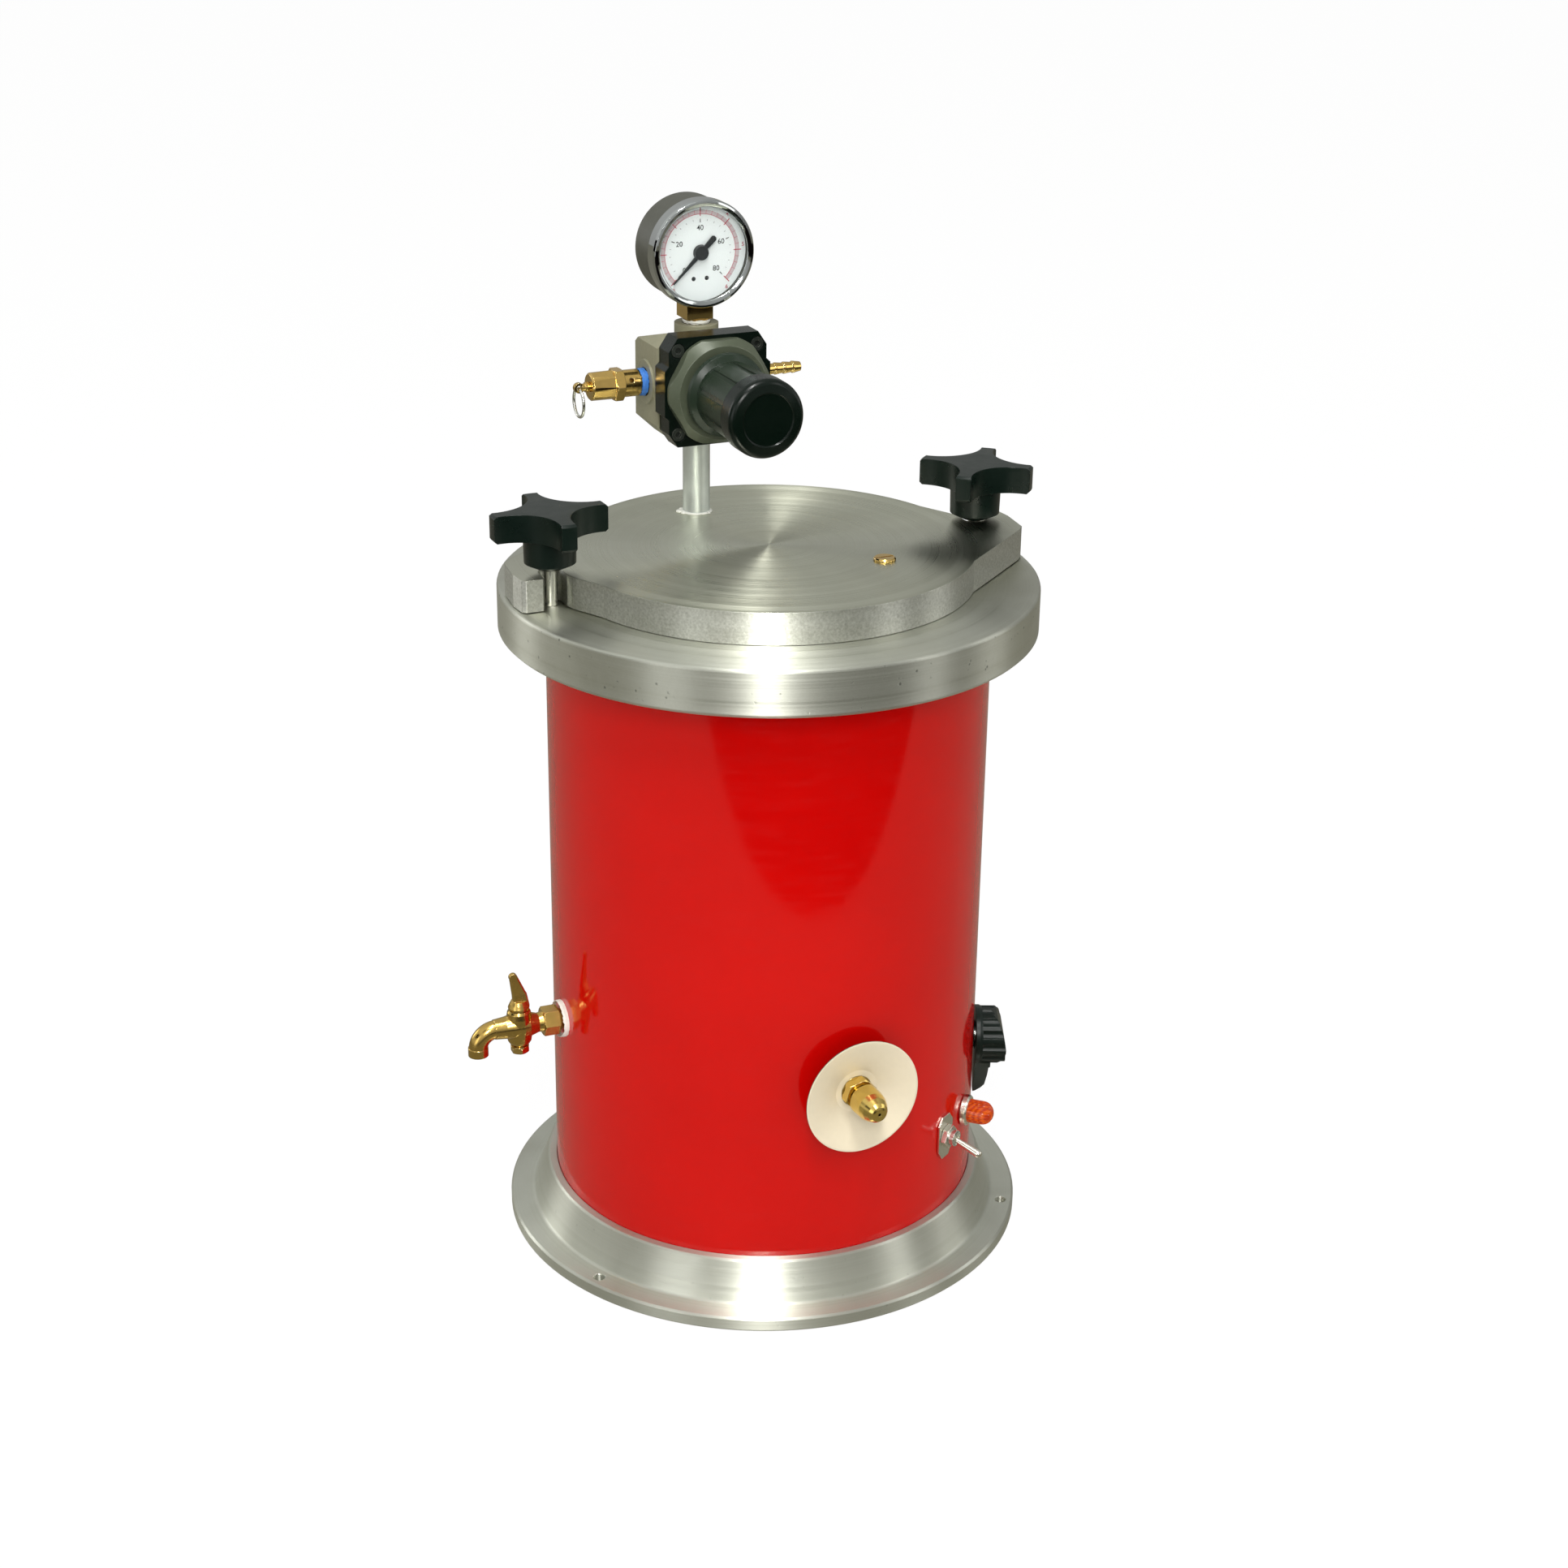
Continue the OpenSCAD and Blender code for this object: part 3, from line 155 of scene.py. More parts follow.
def scaleColour(tree, colour, share):
    n = tree.nodes.new("ShaderNodeVectorMath")
    n.operation = "SCALE"
    tree.links.new(colour, n.inputs[0])
    tree.links.new(share, n.inputs["Scale"])
    return n.outputs[0]


def softCorner(tree, radius):
    n = tree.nodes.new("ShaderNodeBevel")
    n.samples = 4
    n.inputs["Radius"].default_value = radius * mm
    return n.outputs[0]


def newGroup(name, inputs):
    g = bpy.data.node_groups.new(name, "ShaderNodeTree")
    for label, value in inputs.items():
        coloured = isinstance(value, tuple)
        kind = "NodeSocketColor" if coloured else "NodeSocketFloat"
        socket = g.interface.new_socket(name=label, in_out="INPUT", socket_type=kind)
        socket.default_value = (*value, 1) if coloured else value
    for label, kind in (("Colour", "Color"), ("Rough", "Float"), ("Normal", "Vector")):
        g.interface.new_socket(name=label, in_out="OUTPUT", socket_type="NodeSocket" + kind)
    return g, g.nodes.new("NodeGroupInput").outputs, g.nodes.new("NodeGroupOutput").inputs


# A handled surface: fine grain, broad blotches, dust specks and rubbed corners.
handledFacts = {
    "broad": 46.0, "mid": 240.0, "specks": 1500.0,  # noise scales
    "speckEdge": (0.70, 0.76), "cornerEdge": (0.995, 0.86), "wearEdge": (0.35, 0.6),  # masks' starts and ends
    "corner": 0.35, "bump": 0.25,  # mm
    "broadTone": 0.5, "fineTone": 0.3, "dust": (0.42, 0.42, 0.38), "dustRough": 0.4, "broadRough": 0.05,
    "midRough": 0.03, "midHigh": 0.5,
}
handled, given, result = newGroup("handledSurface", {
    "Colour": (0.5, 0.5, 0.5), "Worn": (0.7, 0.7, 0.7), "Rough": 0.4, "Grain": 900.0, "Depth": 0.2,
    "Blotch": 0.2, "Wear": 0.3, "Dust": 0.2})
tree = handled
f = handledFacts
where = objectPlace(tree)
grain = noiseNode(tree, where, given["Grain"], 4, 0.6)
broad = rangeNode(tree, noiseNode(tree, where, f["broad"], 3, 0.6, 0.4), 0.25, 0.75, -1, 1)
mid = noiseNode(tree, where, f["mid"], 3, 0.6)
speck = rangeNode(tree, noiseNode(tree, where, f["specks"], 1, 0.5), *f["speckEdge"])
corner = softCorner(tree, f["corner"])
turn = tree.nodes.new("ShaderNodeVectorMath")
turn.operation = "DOT_PRODUCT"
tree.links.new(corner, turn.inputs[0])
tree.links.new(tree.nodes.new("ShaderNodeNewGeometry").outputs["Normal"], turn.inputs[1])
rubbed = mathNode(tree, "MULTIPLY", rangeNode(tree, turn.outputs["Value"], *f["cornerEdge"]),
                  mathNode(tree, "MULTIPLY", given["Wear"], rangeNode(tree, mid, *f["wearEdge"])))
broadShare = mathNode(tree, "MULTIPLY", given["Blotch"], f["broadTone"])
broadTone = mathNode(tree, "MULTIPLY_ADD", broad, broadShare, 1.0)
fineShare = mathNode(tree, "MULTIPLY", given["Blotch"], f["fineTone"])
fineTone = mathNode(tree, "MULTIPLY_ADD", rangeNode(tree, grain, 0.2, 0.8, -1, 1), fineShare, 1.0)
toned = scaleColour(tree, given["Colour"], mathNode(tree, "MULTIPLY", broadTone, fineTone))
worn = mixColour(tree, rubbed, toned, given["Worn"])
dusty = mathNode(tree, "MULTIPLY", speck, given["Dust"])
tree.links.new(mixColour(tree, dusty, worn, f["dust"]), result["Colour"])
rough = mathNode(tree, "MULTIPLY_ADD", broad, f["broadRough"], given["Rough"])
rough = mathNode(tree, "MULTIPLY_ADD", rangeNode(tree, mid, 0.3, 0.7, -1, 1), f["midRough"], rough)
tree.links.new(mathNode(tree, "MULTIPLY_ADD", dusty, f["dustRough"], rough, True), result["Rough"])
height = mathNode(tree, "MULTIPLY_ADD", mid, f["midHigh"], grain)
tree.links.new(bumpNode(tree, height, given["Depth"], f["bump"], corner), result["Normal"])

# Lathe marks: rings about the tank's axis, with stains and pits, and a cast skin where a face is upright.
lathedFacts = {
    "wideRings": 210, "cloud": 30.0, "patch": 150.0, "sand": 1100.0, "pits": 420,  # noise scales
    "uprightEdge": (0.75, 0.35), "pitEdge": (0.30, 0.12), "patchEdge": (0.56, 0.64),  # masks' starts and ends
    "stainEdge": (0.38, 0.72), "ringEdge": (0.55, 1.05), "sandEdge": (0.3, 0.7),
    "corner": 0.5, "bump": 0.2,  # mm
    "stain": (0.40, 0.39, 0.30), "ringTint": (0.95, 0.96, 0.90), "pit": (0.10, 0.10, 0.08),
    "castDark": 0.40, "castLight": 0.85, "ringShare": 0.16, "skinShare": 0.45, "pitShare": 0.7,
    "ringRough": 0.07, "stainRough": 0.20, "skinRough": 0.18, "pitRough": 0.3,
    "wideHigh": 0.6, "sandHigh": 2.4, "pitDeep": -2.2, "patchHigh": 0.25,
}
lathed, given, result = newGroup("lathedSurface", {
    "Colour": (0.5, 0.5, 0.5), "Rough": 0.35, "Rings": 1300.0, "Depth": 0.15, "Stain": 0.3, "Pits": 0.5,
    "Cast": 0.0})
tree = lathed
f = lathedFacts
where = objectPlace(tree)
x, y, z = splitAxes(tree, where)
squares = [mathNode(tree, "MULTIPLY", side, side) for side in (x, y)]
radius = mathNode(tree, "SQRT", mathNode(tree, "ADD", *squares))
along = mathNode(tree, "ADD", radius, z)
rings = mathNode(tree, "MULTIPLY_ADD", lineNoise(tree, along, f["wideRings"], 2, 0.5), f["wideHigh"],
                 lineNoise(tree, along, given["Rings"], 4, 0.65))
cloud = noiseNode(tree, where, f["cloud"], 4, 0.6, 0.6)
patch = noiseNode(tree, where, f["patch"], 4, 0.65, 0.8)
sandy = noiseNode(tree, where, f["sand"], 3, 0.6)
cell = tree.nodes.new("ShaderNodeTexVoronoi")
cell.inputs["Scale"].default_value = f["pits"]
tree.links.new(where, cell.inputs["Vector"])
facing = splitAxes(tree, tree.nodes.new("ShaderNodeNewGeometry").outputs["Normal"])
upright = rangeNode(tree, mathNode(tree, "ABSOLUTE", facing[2]), *f["uprightEdge"])
skin = mathNode(tree, "MULTIPLY", upright, given["Cast"])
pit = mathNode(tree, "MULTIPLY", rangeNode(tree, cell.outputs["Distance"], *f["pitEdge"]),
               rangeNode(tree, patch, *f["patchEdge"]))
pit = mathNode(tree, "MULTIPLY", mathNode(tree, "MULTIPLY", pit, given["Pits"]),
               mathNode(tree, "MULTIPLY_ADD", upright, 0.85, 0.15))
stain = mathNode(tree, "MULTIPLY", given["Stain"], rangeNode(tree, cloud, *f["stainEdge"]))
tint = mixColour(tree, stain, given["Colour"], f["stain"])
ringShare = mathNode(tree, "MULTIPLY", rangeNode(tree, rings, *f["ringEdge"]), f["ringShare"])
tint = mixColour(tree, ringShare, tint, f["ringTint"])
castTone = rangeNode(tree, sandy, *f["sandEdge"], f["castDark"], f["castLight"])
tint = mixColour(tree, mathNode(tree, "MULTIPLY", skin, f["skinShare"]), tint, castTone)
tint = mixColour(tree, mathNode(tree, "MULTIPLY", pit, f["pitShare"]), tint, f["pit"])
tree.links.new(tint, result["Colour"])
ringHeight = rangeNode(tree, rings, 0.4, 1.2, -1, 1)
rough = mathNode(tree, "MULTIPLY_ADD", ringHeight, f["ringRough"], given["Rough"])
rough = mathNode(tree, "MULTIPLY_ADD", stain, f["stainRough"], rough)
rough = mathNode(tree, "MULTIPLY_ADD", skin, f["skinRough"], rough)
tree.links.new(mathNode(tree, "MULTIPLY_ADD", pit, f["pitRough"], rough, True), result["Rough"])
sand = mathNode(tree, "SUBTRACT", mathNode(tree, "MULTIPLY", sandy, f["sandHigh"]), rings)
height = mathNode(tree, "MULTIPLY_ADD", sand, skin, rings)
height = mathNode(tree, "MULTIPLY_ADD", pit, f["pitDeep"], height)
height = mathNode(tree, "MULTIPLY_ADD", patch, f["patchHigh"], height)
corner = softCorner(tree, f["corner"])
tree.links.new(bumpNode(tree, height, given["Depth"], f["bump"], corner), result["Normal"])
print("shared groups made")


def newMaterial(name, settings):
    m = bpy.data.materials.new(name)
    m.use_nodes = True
    shader = m.node_tree.nodes["Principled BSDF"]
    for label, value in settings.items():
        setSocket(shader.inputs[label], value)
    return m, m.node_tree, shader


def useGroup(tree, shader, group, facts):
    n = tree.nodes.new("ShaderNodeGroup")
    n.node_tree = group
    for label, value in facts.items():
        setSocket(n.inputs[label], value)
    for output, label in (("Colour", "Base Color"), ("Rough", "Roughness"), ("Normal", "Normal")):
        tree.links.new(n.outputs[output], shader.inputs[label])


# Handled finishes. Each has its colour, the colour of its rubbed corners, its gloss and its grain.
metal = {"Metallic": 1.0}
dull = {"Metallic": 0.0}
finishes = {
    "brass": (metal, dict(
        Colour=(0.68, 0.455, 0.14), Worn=(0.92, 0.80, 0.50),
        Rough=0.15, Grain=700.0, Depth=0.06, Blotch=0.22, Wear=0.6, Dust=0.04)),
    "nozzleBrass": (metal, dict(
        Colour=(0.76, 0.54, 0.15), Worn=(0.96, 0.86, 0.55),
        Rough=0.21, Grain=500.0, Depth=0.006, Blotch=0.08, Wear=0.3, Dust=0.0)),
    "castBrass": (metal, dict(
        Colour=(0.60, 0.40, 0.11), Worn=(0.94, 0.80, 0.44),
        Rough=0.22, Grain=420.0, Depth=0.03, Blotch=0.22, Wear=0.4, Dust=0.03)),
    "platedNut": (metal, dict(
        Colour=(0.36, 0.33, 0.24), Worn=(0.62, 0.58, 0.48),
        Rough=0.40, Grain=800.0, Depth=0.15, Blotch=0.4, Wear=0.6, Dust=0.15)),
    "steel": (metal, dict(
        Colour=(0.66, 0.66, 0.61), Worn=(0.88, 0.88, 0.85),
        Rough=0.24, Grain=900.0, Depth=0.05, Blotch=0.18, Wear=0.5, Dust=0.05)),
    "nickel": (metal, dict(
        Colour=(0.78, 0.75, 0.66), Worn=(0.90, 0.88, 0.82),
        Rough=0.20, Grain=900.0, Depth=0.04, Blotch=0.16, Wear=0.5, Dust=0.03)),
    "chrome": (metal, dict(
        Colour=(0.44, 0.46, 0.46), Worn=(0.70, 0.70, 0.70),
        Rough=0.06, Grain=1200.0, Depth=0.015, Blotch=0.06, Wear=0.2, Dust=0.03)),
    "zincPipe": (metal, dict(
        Colour=(0.70, 0.74, 0.72), Worn=(0.85, 0.86, 0.85),
        Rough=0.44, Grain=260.0, Depth=0.12, Blotch=0.22, Wear=0.3, Dust=0.08)),
    "heaterMetal": ({"Metallic": 0.8}, dict(
        Colour=(0.30, 0.26, 0.22), Worn=(0.5, 0.46, 0.42),
        Rough=0.55, Grain=500.0, Depth=0.5, Blotch=0.5, Wear=0.3, Dust=0.3)),
    "insulation": (dull, dict(
        Colour=(0.78, 0.70, 0.38), Worn=(0.86, 0.80, 0.55),
        Rough=0.95, Grain=380.0, Depth=1.0, Blotch=0.6, Wear=0.2, Dust=0.3)),
    "blackRubber": (dull, dict(
        Colour=(0.022, 0.022, 0.022), Worn=(0.07, 0.07, 0.07),
        Rough=0.62, Grain=900.0, Depth=0.3, Blotch=0.35, Wear=0.5, Dust=0.2)),
    "creamPlastic": (dull, dict(
        Colour=(0.64, 0.565, 0.42), Worn=(0.80, 0.76, 0.64),
        Rough=0.42, Grain=500.0, Depth=0.05, Blotch=0.07, Wear=0.3, Dust=0.05)),
    "whiteNylon": (dull, dict(
        Colour=(0.78, 0.77, 0.70), Worn=(0.88, 0.88, 0.84),
        Rough=0.5, Grain=800.0, Depth=0.3, Blotch=0.25, Wear=0.2, Dust=0.1)),
    "blueTape": (dull, dict(
        Colour=(0.035, 0.17, 0.55), Worn=(0.16, 0.36, 0.70),
        Rough=0.38, Grain=1500.0, Depth=0.4, Blotch=0.5, Wear=0.5, Dust=0.05)),
    "blackPlastic": ({"Specular IOR Level": 0.22}, dict(
        Colour=(0.0016, 0.0046, 0.0028), Worn=(0.010, 0.014, 0.010),
        Rough=0.22, Grain=1100.0, Depth=0.02, Blotch=0.15, Wear=0.25, Dust=0.0)),
    "knobPlastic": ({"Specular IOR Level": 0.26}, dict(
        Colour=(0.0024, 0.0070, 0.0048), Worn=(0.024, 0.032, 0.026),
        Rough=0.30, Grain=800.0, Depth=0.06, Blotch=0.35, Wear=0.4, Dust=0.0)),
    "darkPaint": (dull, dict(
        Colour=(0.046, 0.047, 0.035), Worn=(0.18, 0.18, 0.15),
        Rough=0.40, Grain=700.0, Depth=0.12, Blotch=0.2, Wear=0.5, Dust=0.06)),
    "regulatorPlastic": ({"Specular IOR Level": 0.24}, dict(
        Colour=(0.012, 0.021, 0.012), Worn=(0.035, 0.045, 0.033),
        Rough=0.30, Grain=900.0, Depth=0.02, Blotch=0.1, Wear=0.2, Dust=0.0)),
    "oliveMetal": ({"Metallic": 0.15}, dict(
        Colour=(0.222, 0.214, 0.140), Worn=(0.40, 0.39, 0.30),
        Rough=0.44, Grain=620.0, Depth=0.26, Blotch=0.2, Wear=0.55, Dust=0.08)),
    "oliveNut": ({"Metallic": 0.15, "Specular IOR Level": 0.40}, dict(
        Colour=(0.066, 0.078, 0.050), Worn=(0.27, 0.29, 0.23),
        Rough=0.34, Grain=800.0, Depth=0.12, Blotch=0.2, Wear=0.6, Dust=0.06)),
    "blackScrew": ({"Metallic": 0.6}, dict(
        Colour=(0.030, 0.036, 0.030), Worn=(0.20, 0.21, 0.18),
        Rough=0.34, Grain=900.0, Depth=0.1, Blotch=0.3, Wear=0.7, Dust=0.04)),
    "whiteDial": (dull, dict(
        Colour=(0.90, 0.96, 0.95), Worn=(0.9, 0.9, 0.9),
        Rough=0.5, Grain=1500.0, Depth=0.02, Blotch=0.03, Wear=0.0, Dust=0.0)),
    "dialInk": (dull, dict(
        Colour=(0.010, 0.010, 0.011), Worn=(0.03, 0.03, 0.03),
        Rough=0.45, Grain=1500.0, Depth=0.03, Blotch=0.1, Wear=0.0, Dust=0.0)),
    "dialRed": (dull, dict(
        Colour=(0.66, 0.12, 0.16), Worn=(0.8, 0.4, 0.4),
        Rough=0.5, Grain=1500.0, Depth=0.03, Blotch=0.1, Wear=0.0, Dust=0.0)),
    "dialBand": (dull, dict(
        Colour=(0.66, 0.55, 0.56), Worn=(0.8, 0.7, 0.7),
        Rough=0.5, Grain=1500.0, Depth=0.03, Blotch=0.08, Wear=0.0, Dust=0.0)),
    "sealant": (dull, dict(
        Colour=(0.82, 0.82, 0.76), Worn=(0.88, 0.88, 0.86),
        Rough=0.44, Grain=380.0, Depth=0.25, Blotch=0.12, Wear=0.2, Dust=0.08)),
}
made = {}
for key, (settings, facts) in finishes.items():
    made[key], tree, shader = newMaterial(key, settings)
    useGroup(tree, shader, handled, facts)

# Turned aluminium: the tangent runs round the tank's axis, so its highlights fan out from there.
brushed = {"Metallic": 1.0, "Anisotropic": 0.93, "Anisotropic Rotation": 0.25}
turnedFinishes = {
    "turnedLid": dict(
        Colour=(0.53, 0.54, 0.43), Rough=0.29, Rings=1500.0, Depth=0.07, Stain=0.30, Pits=0.30, Cast=1.0),
    "turnedRim": dict(
        Colour=(0.64, 0.65, 0.565), Rough=0.39, Rings=1100.0, Depth=0.14, Stain=0.30, Pits=0.9, Cast=0.12),
    "turnedBase": dict(
        Colour=(0.66, 0.67, 0.59), Rough=0.40, Rings=900.0, Depth=0.14, Stain=0.22, Pits=0.2, Cast=0.0),
}
for key, facts in turnedFinishes.items():
    made[key], tree, shader = newMaterial(key, brushed)
    useGroup(tree, shader, lathed, facts)
    tangent = tree.nodes.new("ShaderNodeTangent")
    tangent.direction_type = "RADIAL"
    tangent.axis = "Z"
    tree.links.new(tangent.outputs[0], shader.inputs["Tangent"])

# Gloss red paint: faint orange peel, soft tone, and hair scuffs in its gloss.
paint = dict(deep=(0.440, 0.0006, 0.0004), light=(0.485, 0.0014, 0.0008), tone=14.0, toneEdge=(0.3, 0.7),
             rough=0.065, scuff=0.08, hair=60.0, hairEdge=(0.45, 0.75), hairLong=9, peel=190.0,
             peelStrength=0.025, peelDeep=0.2)
made["redPaint"], tree, shader = newMaterial("redPaint", {"IOR": 1.5})
where = objectPlace(tree)
soft = rangeNode(tree, noiseNode(tree, where, paint["tone"], 3, 0.5, 0.3), *paint["toneEdge"])
tree.links.new(mixColour(tree, soft, paint["deep"], paint["light"]), shader.inputs["Base Color"])
stretch = tree.nodes.new("ShaderNodeMapping")
stretch.inputs["Scale"].default_value = (1, 1, paint["hairLong"])
tree.links.new(where, stretch.inputs[0])
hair = rangeNode(tree, noiseNode(tree, stretch.outputs[0], paint["hair"], 5), *paint["hairEdge"])
rough = mathNode(tree, "MULTIPLY_ADD", hair, paint["scuff"], paint["rough"])
tree.links.new(rough, shader.inputs["Roughness"])
peel = noiseNode(tree, where, paint["peel"], 2, 0.45)
tree.links.new(bumpNode(tree, peel, paint["peelStrength"], paint["peelDeep"]), shader.inputs["Normal"])


def tintWhere(key, place, colour):
    tree = made[key].node_tree
    base = tree.nodes["Principled BSDF"].inputs["Base Color"]
    tree.links.new(mixColour(tree, place, base.links[0].from_socket, colour), base)


# Painted shade: the shield's faces turned away from the front are painted dark, which darkens its edge and
# its reflection in the paint behind it.
shieldPaintedShade = dict(front=-0.6, back=-0.3, colour=(0.035, 0.028, 0.022))  # how far a face looks along y
tree = made["creamPlastic"].node_tree
facing = splitAxes(tree, tree.nodes.new("ShaderNodeTexCoord").outputs["Normal"])
shadeFacingAway = rangeNode(tree, facing[1], shieldPaintedShade["front"], shieldPaintedShade["back"])
tintWhere("creamPlastic", shadeFacingAway, shieldPaintedShade["colour"])

# Painted shade: dark lines low on the lid's rim, where it sits on the flange, and on the paint just below the
# flange.
paintedShade = {  # an underside, how far above it in mm the painted shade ends and is full, and its colour
    "turnedLid": (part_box("lid")[0][2], 1.3, 0.4, (0.035, 0.035, 0.028)),
    "redPaint": (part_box("top_flange")[0][2], -3.0, -0.4, (0.09, 0.001, 0.001)),
}
for key, (under, clean, fullShade, colour) in paintedShade.items():
    tree = made[key].node_tree
    height = splitAxes(tree, objectPlace(tree))[2]
    tintWhere(key, rangeNode(tree, height, under + clean * mm, under + fullShade * mm), colour)

# Orange lens: clear plastic with upright flutes inside.
lens = dict(deep=(0.42, 0.020, 0.001), light=(0.80, 0.13, 0.003), flutes=210, waver=1.5, cloud=160.0,
            cloudEdge=(0.3, 0.7), cloudTone=(0.3, 1.0), bump=0.16, bumpDeep=0.4)
made["orangeLens"], tree, shader = newMaterial("orangeLens", {
    "Roughness": 0.08, "Transmission Weight": 0.3, "IOR": 1.49, "Emission Color": (0.9, 0.16, 0.0),
    "Emission Strength": 0.05})
where = objectPlace(tree)
flutes = tree.nodes.new("ShaderNodeTexWave")
flutes.wave_type = "BANDS"
flutes.bands_direction = "Y"
flutes.inputs["Scale"].default_value = lens["flutes"]
flutes.inputs["Distortion"].default_value = lens["waver"]
tree.links.new(where, flutes.inputs["Vector"])
cloud = noiseNode(tree, where, lens["cloud"], 3, 0.6)
cloudy = rangeNode(tree, cloud, *lens["cloudEdge"], *lens["cloudTone"])
tone = mathNode(tree, "MULTIPLY", flutes.outputs["Fac"], cloudy)
tree.links.new(mixColour(tree, tone, lens["deep"], lens["light"]), shader.inputs["Base Color"])
tree.links.new(bumpNode(tree, flutes.outputs["Fac"], lens["bump"], lens["bumpDeep"]), shader.inputs["Normal"])

# Gauge glass: nearly clear, with faint smears in its gloss.
glass = dict(smears=130.0, smearEdge=(0.4, 0.8), clean=0.02, smeared=0.16, deep=(0.10, 0.12, 0.12),
             light=(0.16, 0.18, 0.18))
made["clearGlass"], tree, shader = newMaterial("clearGlass", {"Alpha": 0.07, "IOR": 1.5})
smear = noiseNode(tree, objectPlace(tree), glass["smears"], 4, 0.6, 1.2)
rough = rangeNode(tree, smear, *glass["smearEdge"], glass["clean"], glass["smeared"])
tree.links.new(rough, shader.inputs["Roughness"])
tree.links.new(mixColour(tree, smear, glass["deep"], glass["light"]), shader.inputs["Base Color"])
print("materials made:", len(made))

# Which finish each slot and node takes.
slotFinish = {
    "machined_aluminium": "turnedRim", "red_paint": "redPaint", "brass": "brass", "plated_nut": "platedNut",
    "steel": "steel", "chrome": "chrome", "zinc_pipe": "zincPipe", "heater_metal": "heaterMetal",
    "insulation": "insulation", "black_rubber": "blackRubber", "cream_plastic": "creamPlastic",
    "white_nylon": "whiteNylon", "blue_tape": "blueTape", "black_plastic": "blackPlastic",
    "dark_paint": "darkPaint", "olive_metal": "oliveMetal", "orange_lens": "orangeLens",
    "white_dial": "whiteDial", "clear_glass": "clearGlass",
}
nodeFinish = {
    "lid": "turnedLid", "base_flange": "turnedBase", "bonnet_nut": "oliveNut", "left_knob": "knobPlastic",
    "right_knob": "knobPlastic", "drain_body": "castBrass", "drain_plug": "castBrass", "drain_nut": "brass",
    "regulator_knob": "regulatorPlastic", "gauge_needle": "dialInk", "thermostat_knob": "knobPlastic",
    "nozzle_tip": "nozzleBrass", "nozzle_adapter": "nozzleBrass", "bonnet_screws": "blackScrew",
    "switch_plate": "nickel", "switch_nut": "nickel", "switch_lever": "nickel", "switch_body": "steel",
    "lamp_bezel": "nickel",
}
slotOf = {p["node"]: p["material_slot"] for p in frame["record"]["subparts"]}
for name, obj in cadNodes.items():
    finish = made[nodeFinish.get(name, slotFinish[slotOf[name]])]
    if not obj.data.materials:
        obj.data.materials.append(finish)
    for slot in obj.material_slots:
        slot.material = finish
print("node finishes set")


# Shapes start from a primitive and are worked in edit mode and with modifiers, with their place in the mesh.
def pickOnly(*shapes):
    if bpy.context.mode != "OBJECT":
        bpy.ops.object.mode_set(mode="OBJECT")
    bpy.ops.object.select_all(action="DESELECT")
    for s in shapes:
        s.select_set(True)
    if shapes:
        bpy.context.view_layer.objects.active = shapes[0]


def startShape(name, add, **settings):
    pickOnly()
    add(**settings)
    shape = bpy.context.active_object
    shape.name = name
    return shape


def settleShape(shape):
    pickOnly(shape)
    for m in list(shape.modifiers):
        bpy.ops.object.modifier_apply(modifier=m.name)
    bpy.ops.object.transform_apply(location=True, rotation=True, scale=True)
    return shape


def editAll(shape):
    pickOnly(shape)
    bpy.ops.object.mode_set(mode="EDIT")
    bpy.ops.mesh.select_all(action="SELECT")


def turnedCopies(shape, centre, axis, angles):
    copies = []
    spot = Matrix.Translation(centre)
    for a in angles:
        copy = shape.copy()
        copy.data = shape.data.copy()
        scene.collection.objects.link(copy)
        copy.matrix_world = spot @ Matrix.Rotation(math.radians(a), 4, axis) @ spot.inverted()
        copies.append(copy)
    return copies


def joinShapes(name, shapes):
    pickOnly(*shapes)
    bpy.ops.object.join()
    shape = bpy.context.active_object
    shape.name = name
    return shape


def finishShape(shape, body, finish, smooth=40, weld=0.002):
    settleShape(shape)
    editAll(shape)
    bpy.ops.mesh.remove_doubles(threshold=weld * mm)
    bpy.ops.mesh.normals_make_consistent(inside=False)
    bpy.ops.object.mode_set(mode="OBJECT")
    bpy.ops.object.shade_smooth_by_angle(angle=math.radians(smooth))
    shape.data.name = shape.name
    shape.data.materials.clear()
    shape.data.materials.append(made[finish])
    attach(shape, body)
    return shape


# The gauge's printed scales: arcs spun round the dial, ticks, dots and plain numbers.
dialLow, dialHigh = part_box("gauge_dial")
dialFacts = {
    "centre": Vector(((dialLow.x + dialHigh.x) / 2, dialLow.y, (dialLow.z + dialHigh.z) / 2)),
    "start": 225, "sweep": 270, "thick": 0.05, "lift": 0.03, "over": 0.06,
    "band": (14.0, 15.4), "redArc": (13.88, 14.06), "arcSteps": 90,
    "redLong": (13.2, 16.2, 0.34), "redShort": (14.0, 15.5, 0.14), "redTicks": 30, "redEvery": 5,
    "blackLong": (10.9, 12.2, 0.30), "blackShort": (11.6, 12.2, 0.12), "blackTicks": 20, "blackEvery": 5,
    "tickEdge": 0.012, "dots": (-2.6, 2.6), "dotDown": 9.6, "dotSize": 0.85, "dotEdge": 0.15,
    "redNumbers": 7, "redNumberAt": 17.0, "redNumberSize": 2.1, "nudge": 6, "endNudge": 7,
    "blackNumbers": 5, "blackNumberAt": 8.9, "blackNumberSize": 2.7, "blackNumberStep": 20,
    "numberThick": 0.012, "numberBold": 0.02, "numberOver": 0.04,
}


def dialPoint(r, degrees, lift):
    a = math.radians(degrees)
    return dialFacts["centre"] + Vector((r * math.cos(a), -lift, r * math.sin(a))) * mm


